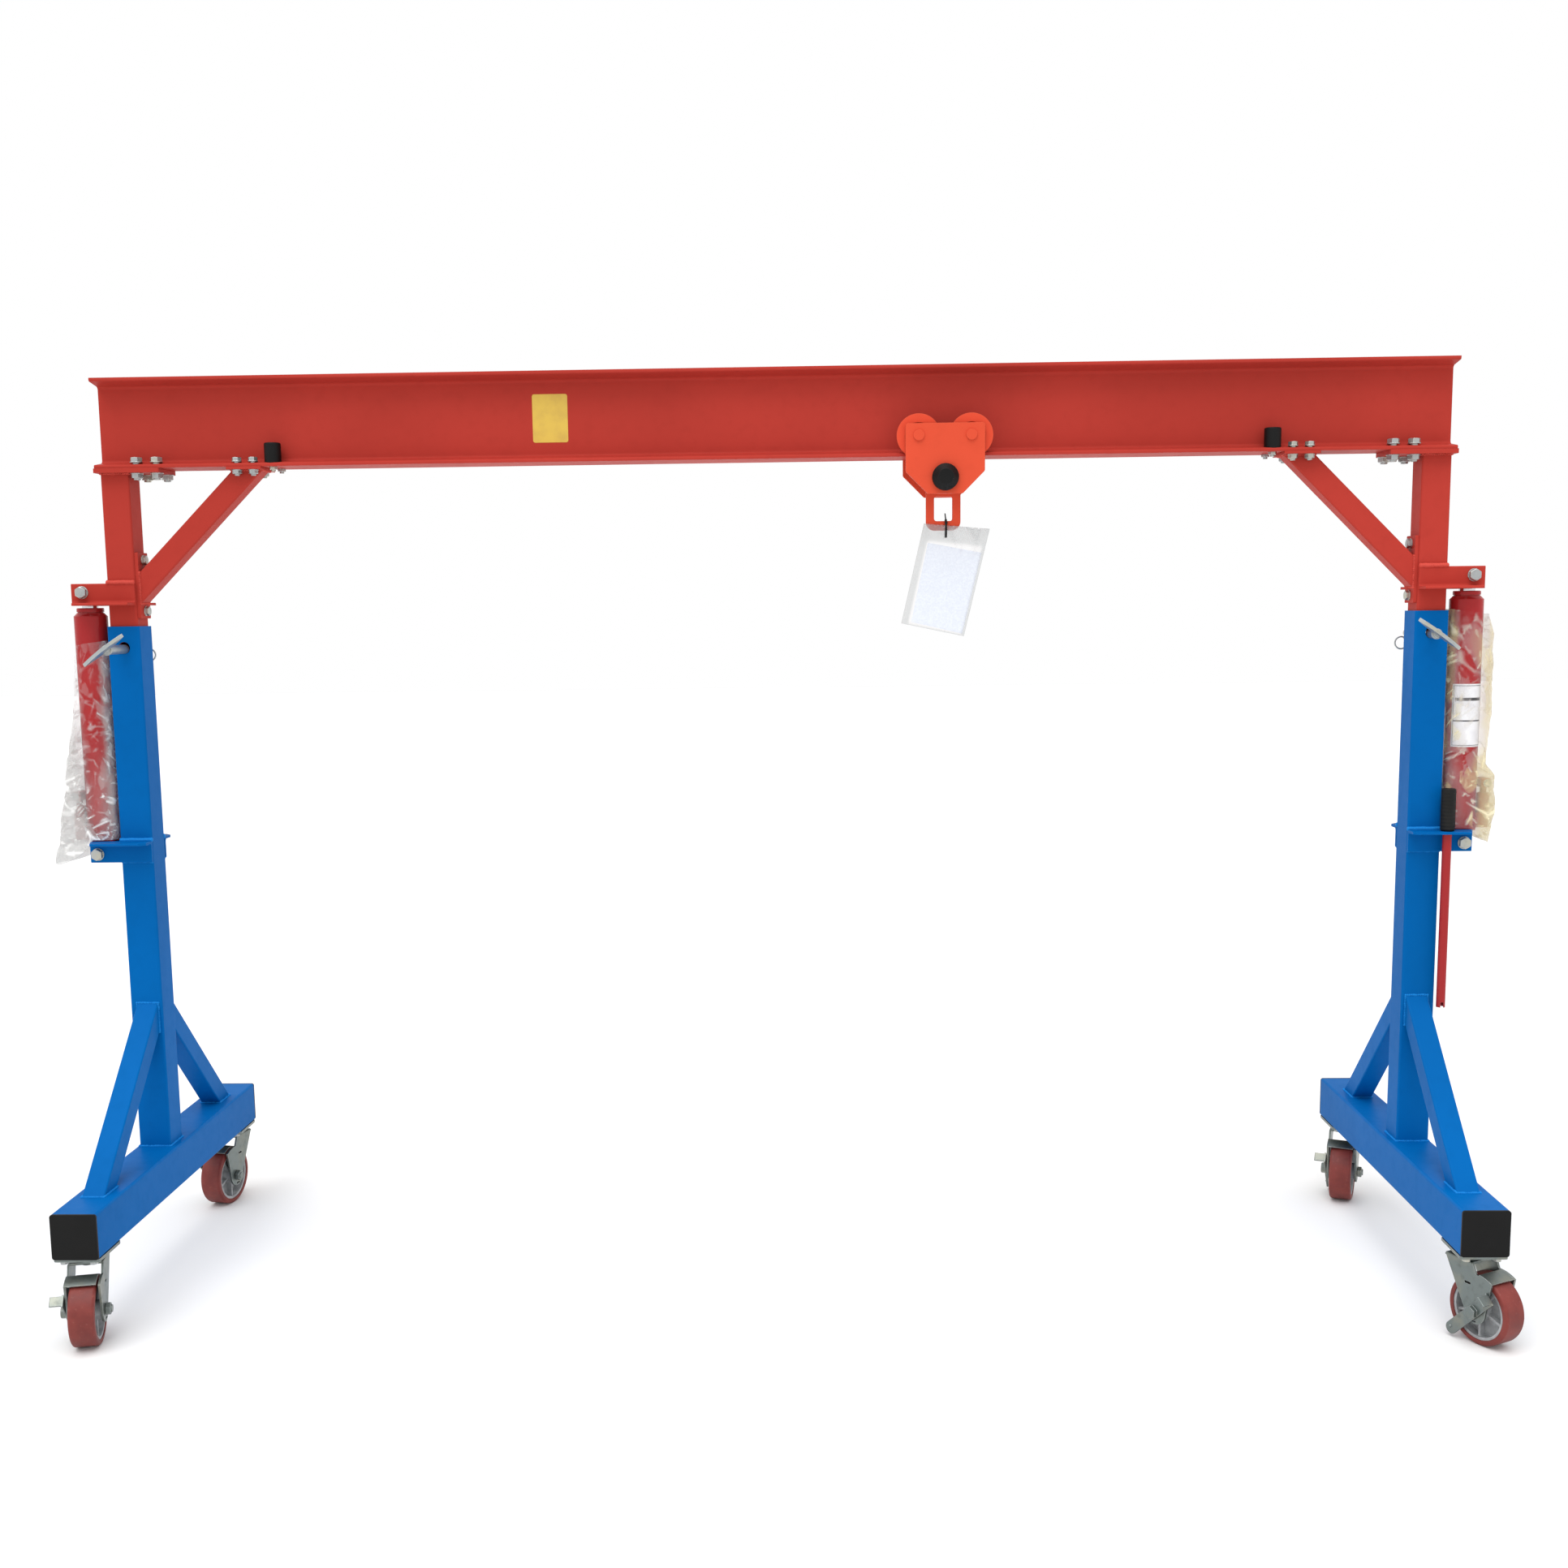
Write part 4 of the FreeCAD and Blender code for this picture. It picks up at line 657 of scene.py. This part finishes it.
# height above the lower angles, then how far the bag reaches from the jack's axis: outwards,
# sideways and towards the post
bag_shape = {
    "left": (
        (0.517, 0.041, 0.041, 0.043),
        (0.460, 0.042, 0.042, 0.046),
        (0.333, 0.049, 0.043, 0.047),
        (0.253, 0.062, 0.044, 0.047),
        (0.191, 0.076, 0.045, 0.047),
        (0.120, 0.083, 0.047, 0.047),
        (0.050, 0.098, 0.048, 0.047),
        (0.002, 0.107, 0.048, 0.046),
        (-0.058, 0.115, 0.048, 0.045),
    ),
    "right": (
        (0.517, 0.045, 0.041, 0.045),
        (0.475, 0.056, 0.043, 0.047),
        (0.443, 0.064, 0.044, 0.048),
        (0.258, 0.066, 0.044, 0.048),
        (0.194, 0.061, 0.044, 0.048),
        (0.148, 0.058, 0.044, 0.047),
        (0.122, 0.076, 0.046, 0.047),
        (0.077, 0.077, 0.047, 0.047),
        (0.042, 0.082, 0.047, 0.047),
        (0.014, 0.074, 0.047, 0.046),
        (-0.043, 0.066, 0.046, 0.045),
    ),
}
bag_top = {"left": 0.459, "right": 0.494}
bag_hang = {"left": 0.058, "right": 0.036}      # how far the hem falls past the end of the angles
bag_seed = {"left": 3.1, "right": 8.7}
bag_film = {
    "left": film("clear_film", shade(206, 206, 204), shade(238, 237, 236)),
    "right": film("cream_film", shade(226, 214, 172), shade(236, 226, 192)),
}
pump_top = 0.150
pivot_offset, pivot_height, pivot_half_length = 0.055, 0.104, 0.024
pin_end_depth = 0.002


def bag_reach(rows, height):
    """The bag's three reaches at a height, between its rows."""
    for upper, lower in zip(rows, rows[1:]):
        if height >= lower[0]:
            share = min(1.0, (height - lower[0]) / (upper[0] - lower[0]))
            return [low + (high - low) * share for low, high in zip(lower[1:], upper[1:])]
    return list(rows[-1][1:])


for side, sign in sides.items():
    body_low, body_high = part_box(f"{side}_jack_body")
    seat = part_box(f"{side}_lower_brackets")[1][2]
    axis_x = body_low[0] + cylinder_radius if sign > 0 else body_high[0] - cylinder_radius
    axis_y = (body_low[1] + body_high[1]) / 2
    select_only()
    bpy.ops.mesh.primitive_grid_add(x_subdivisions=bag_columns, y_subdivisions=bag_rows, size=1.0)
    bag = bpy.context.object
    creases = []
    hazes = []
    for vertex in bag.data.vertices:
        turn = 2.0 * math.pi * (vertex.co.x + 0.5)
        outwards = math.cos(turn)
        top = bag_top[side] - 0.006 * outwards
        hem = 0.003 - bag_hang[side] * ramp(outwards, 0.20, 0.95)
        height = hem + (top - hem) * (vertex.co.y + 0.5)
        out, across, back = bag_reach(bag_shape[side], height)
        along = out if outwards > 0 else back
        # round above the pump and squarer about it, so that the pump fits inside
        power = 2.0 + 0.9 * ramp(height, pump_top + 0.03, pump_top - 0.02)
        rounding = (abs(outwards) / along) ** power + (abs(math.sin(turn)) / across) ** power
        reach = rounding ** (-1.0 / power)
        loop = Vector((math.cos(turn) * bag_radius, math.sin(turn) * bag_radius, height))
        wide_fold, wide_facet = crumple(loop, bag_seed[side], 0.040)
        thin_fold, thin_facet = crumple(loop, bag_seed[side] + 5.0, 0.018)
        slack = noise.noise(loop * 28.0 + Vector((bag_seed[side], 0.0, 0.0)))
        loose = max(0.0, reach - snug_reach)
        low_down = ramp(height, 0.27, 0.10)
        pinched = ramp(outwards, -0.55, -0.75) * (ramp(height, 0.27, 0.30) if sign > 0 else 1.0)
        shift = (0.0014 + 0.0008 * low_down) * slack - 0.0022 * wide_fold - 0.0008 * thin_fold
        shift = max(shift * (1.0 + loose * 12.0), cylinder_radius + film_gap - reach)
        reach = min(reach + shift, post_reach) if outwards < -0.3 else reach + shift
        busy = max(low_down, 0.8 * pinched, 0.30 + 0.3 * (wide_facet > 0.75))
        round_at = turn * bag_radius
        lines = streaks(round_at, height, bag_seed[side], 0.019, wide_facet * math.pi)
        lines += 0.6 * streaks(round_at, height, bag_seed[side] + 9.0, 0.012, thin_facet * math.pi)
        creases.append(min(1.0, lines * busy))
        facets = 0.55 * ramp(wide_facet, 0.70, 0.74) + 0.5 * ramp(thin_facet, 0.80, 0.84)
        hazes.append(min(1.0, loose * 38.0 + facets * busy * (1.0 - 0.5 * wide_fold) + 0.35 * pinched))
        spot = Vector((sign * math.cos(turn), math.sin(turn), 0.0)) * reach
        vertex.co = spot + Vector((axis_x, axis_y, seat + height))
    mark(bag, "crease", creases)
    mark(bag, "haze", hazes)
    settled(bag, f"{side}_bag", bag_film[side])
    bpy.ops.object.mode_set(mode="EDIT")
    bpy.ops.mesh.select_all(action="SELECT")
    bpy.ops.mesh.remove_doubles(threshold=0.00002)
    bpy.ops.mesh.normals_make_consistent(inside=False)
    bpy.ops.object.mode_set(mode="OBJECT")
    shaped(bag, "SOLIDIFY", thickness=0.0002)
    bpy.ops.object.shade_smooth()
    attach(bag, f"{side}_leg")
    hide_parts(f"{side}_film_bag")

    # the plated end of the pin that the pump's lever turns on
    select_only()
    bpy.ops.mesh.primitive_cylinder_add(vertices=40, radius=0.0095, depth=pin_end_depth)
    pin_end = bpy.context.object
    pin_end.rotation_euler = (math.pi / 2, 0.0, 0.0)
    pin_face = axis_y - pivot_half_length - pin_end_depth / 2
    pin_end.location = (axis_x + sign * pivot_offset, pin_face, seat + pivot_height)
    settled(pin_end, f"{side}_pump_pin_end", bright_zinc)
    shaped(pin_end, "BEVEL", width=0.0006, segments=2)
    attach(pin_end, f"{side}_leg")


# ------------------------------------------------------------------ trolley
# A push trolley of two flame-cut plates in orange-red enamel, four flanged wheels painted with them
# and rolled bare on the tread, and a hanger plate that swings on a cross shaft.
coat(orange_enamel, "trolley_plates", "trolley_pins", "hanger")

rolled = enamel("rolled_wheel", shade(216, 78, 54), shade(238, 116, 88), 0.4)
side_place = rolled.node("ShaderNodeSeparateXYZ", {}, {0: rolled.place()}, "Y")
from_web = rolled.node("ShaderNodeMath", {"operation": "ABSOLUTE"}, {0: side_place - web_middle}, 0)
bare = 1.0 - from_web.between(0.0465, 0.0490)
painted_link = rolled.shader.inputs["Base Color"].links[0].from_socket
bare_steel = rolled.blend(rolled.cloud(60.0), shade(128, 128, 128), shade(166, 166, 164))
rolled.wear(Base_Color=rolled.blend(bare, Shade(rolled, painted_link), bare_steel))
rolled.wear(Metallic=bare)
coat(rolled, *(f"trolley_wheel_{depth}_{side}" for depth in ("front", "back") for side in sides))


# ------------------------------------------------------------------ manual in its pouch
# A folded sheet in a clear heat-sealed pouch hangs askew in front of the hanger. The pouch is two
# sheets of film welded along their edges, blown slightly apart by the paper between them.
hanger_low, hanger_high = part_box("hanger")
hanger_middle = (hanger_low[0] + hanger_high[0]) / 2
pouch_plane = hanger_low[1] - 0.0023
# corners across and up from the hanger's bottom middle: top left, top right, bottom right, bottom left
pouch_corners = ((-0.044, 0.016), (0.105, 0.002), (0.047, -0.239), (-0.096, -0.208))
paper_corners = ((-0.035, -0.027), (0.087, -0.051), (0.043, -0.233), (-0.073, -0.205))
pouch_film = film("pouch_film", shade(172, 174, 174), shade(238, 238, 240))


def between_corners(corners, u, v):
    """A place in the plane of the pouch, u from its left edge and v from its top."""
    top = Vector(corners[0]).lerp(Vector(corners[1]), u)
    bottom = Vector(corners[3]).lerp(Vector(corners[2]), u)
    spot = top.lerp(bottom, v)
    return hanger_middle + spot.x, hanger_low[2] + spot.y


def pouch_puff(u, v):
    """Half the pouch's thickness: nothing along the sealed edges, most in the middle."""
    rim = min(u, 1.0 - u, v, 1.0 - v)
    return 0.0016 * min(1.0, rim * 9.0) ** 0.5


pouch = fine_cube(47)
creases = []
hazes = []
for vertex in pouch.data.vertices:
    u, v, face = vertex.co.x + 0.5, 0.5 - vertex.co.z, vertex.co.y
    x, z = between_corners(pouch_corners, u, v)
    fold, facet = crumple(Vector((x, face * 0.02, z)), 14.0, 0.05)
    upper = max(0.0, 1.0 - v * 3.6)
    wave = 0.0011 * noise.noise(Vector((x * 22.0, 0.0, z * 22.0))) - 0.0014 * fold * upper
    y = pouch_plane + 2.0 * face * (pouch_puff(u, v) + 0.0002) + wave
    creases.append(min(1.0, fold ** 6.0 * upper * min(1.0, max(0.0, u * 2.0 - 0.4))))
    on_paper = ramp(u, 0.09, 0.13) * ramp(u, 0.97, 0.93) * ramp(v, 0.14, 0.19) * ramp(v, 1.0, 0.97)
    hazes.append(0.62 + 0.25 * facet * upper - 0.58 * on_paper)
    vertex.co = (x, min(y, hanger_low[1] - 0.0002) if z > hanger_low[2] else y, z)
mark(pouch, "crease", creases)
mark(pouch, "haze", hazes)
settled(pouch, "manual_film_pouch", pouch_film)
bpy.ops.object.shade_smooth()
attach(pouch, "hanger")
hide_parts("manual_pouch")

paper = Finish("folded_paper", shade(216, 221, 230), 0.72)
fibres = paper.cloud(260.0, 5.0)
paper.wear(Base_Color=paper.blend(fibres.between(0.35, 0.7), shade(212, 217, 227), shade(221, 226, 234)))
paper.wear(Roughness=0.66 + 0.12 * fibres)
paper.relief(fibres, 0.15, 0.0004)
leaflet = fine_cube(15)
for vertex in leaflet.data.vertices:
    u, v, face = vertex.co.x + 0.5, 0.5 - vertex.co.z, vertex.co.y
    x, z = between_corners(paper_corners, u, v)
    bow = 0.0004 * math.sin(math.pi * u)
    vertex.co = (x, pouch_plane - bow + 0.0007 * face, z)
settled(leaflet, "folded_manual", paper)
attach(leaflet, "hanger")

# the black cable tie through the pouch and round the foot of the hanger
tie_plastic = moulding("tie_plastic", shade(22, 22, 22), 0.4)
tie_plastic.relief(tie_plastic.cloud(700.0, 2.0), 0.15, 0.0002)
tie_width, tie_thickness = 0.0045, 0.0011
tie_x = hanger_middle + 0.006
tie_low, tie_high = hanger_low[2] - 0.0160, hanger_low[2] + 0.0245
tie_front, tie_back = hanger_low[1] - 0.0052, hanger_high[1] + 0.0012
strap_size = (tie_width, tie_back - tie_front, tie_high - tie_low)
strap = block(strap_size, (tie_x, (tie_front + tie_back) / 2, (tie_low + tie_high) / 2))
settled(strap, "cable_tie", tie_plastic)
bpy.ops.object.mode_set(mode="EDIT")
bpy.ops.mesh.select_mode(type="FACE")
bpy.ops.mesh.select_all(action="DESELECT")
bpy.ops.object.mode_set(mode="OBJECT")
for face in strap.data.polygons:
    face.select = abs(face.normal.x) > 0.9
bpy.ops.object.mode_set(mode="EDIT")
bpy.ops.mesh.delete(type="ONLY_FACE")
bpy.ops.object.mode_set(mode="OBJECT")
round_edges(strap, 0, 0.0045)
shaped(strap, "SOLIDIFY", thickness=tie_thickness, offset=0.0)
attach(strap, "hanger")

tie_head = block((0.0066, 0.0050, 0.0060), (tie_x, tie_front - 0.0012, tie_high - 0.0080))
settled(tie_head, "tie_head", tie_plastic)
shaped(tie_head, "BEVEL", width=0.0009, segments=3)
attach(tie_head, "hanger")

tie_tail = fine_cube(9)
for vertex in tie_tail.data.vertices:
    rise = vertex.co.z + 0.5
    lean = 0.006 * rise ** 2.0
    wide = 0.0038 * (1.0 - 0.35 * rise)
    x = tie_x + vertex.co.x * wide - 0.003 * rise
    y = tie_front - 0.0012 - lean + vertex.co.y * tie_thickness
    vertex.co = (x, y, tie_high - 0.0060 + 0.0190 * rise)
settled(tie_tail, "tie_tail", tie_plastic)
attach(tie_tail, "hanger")
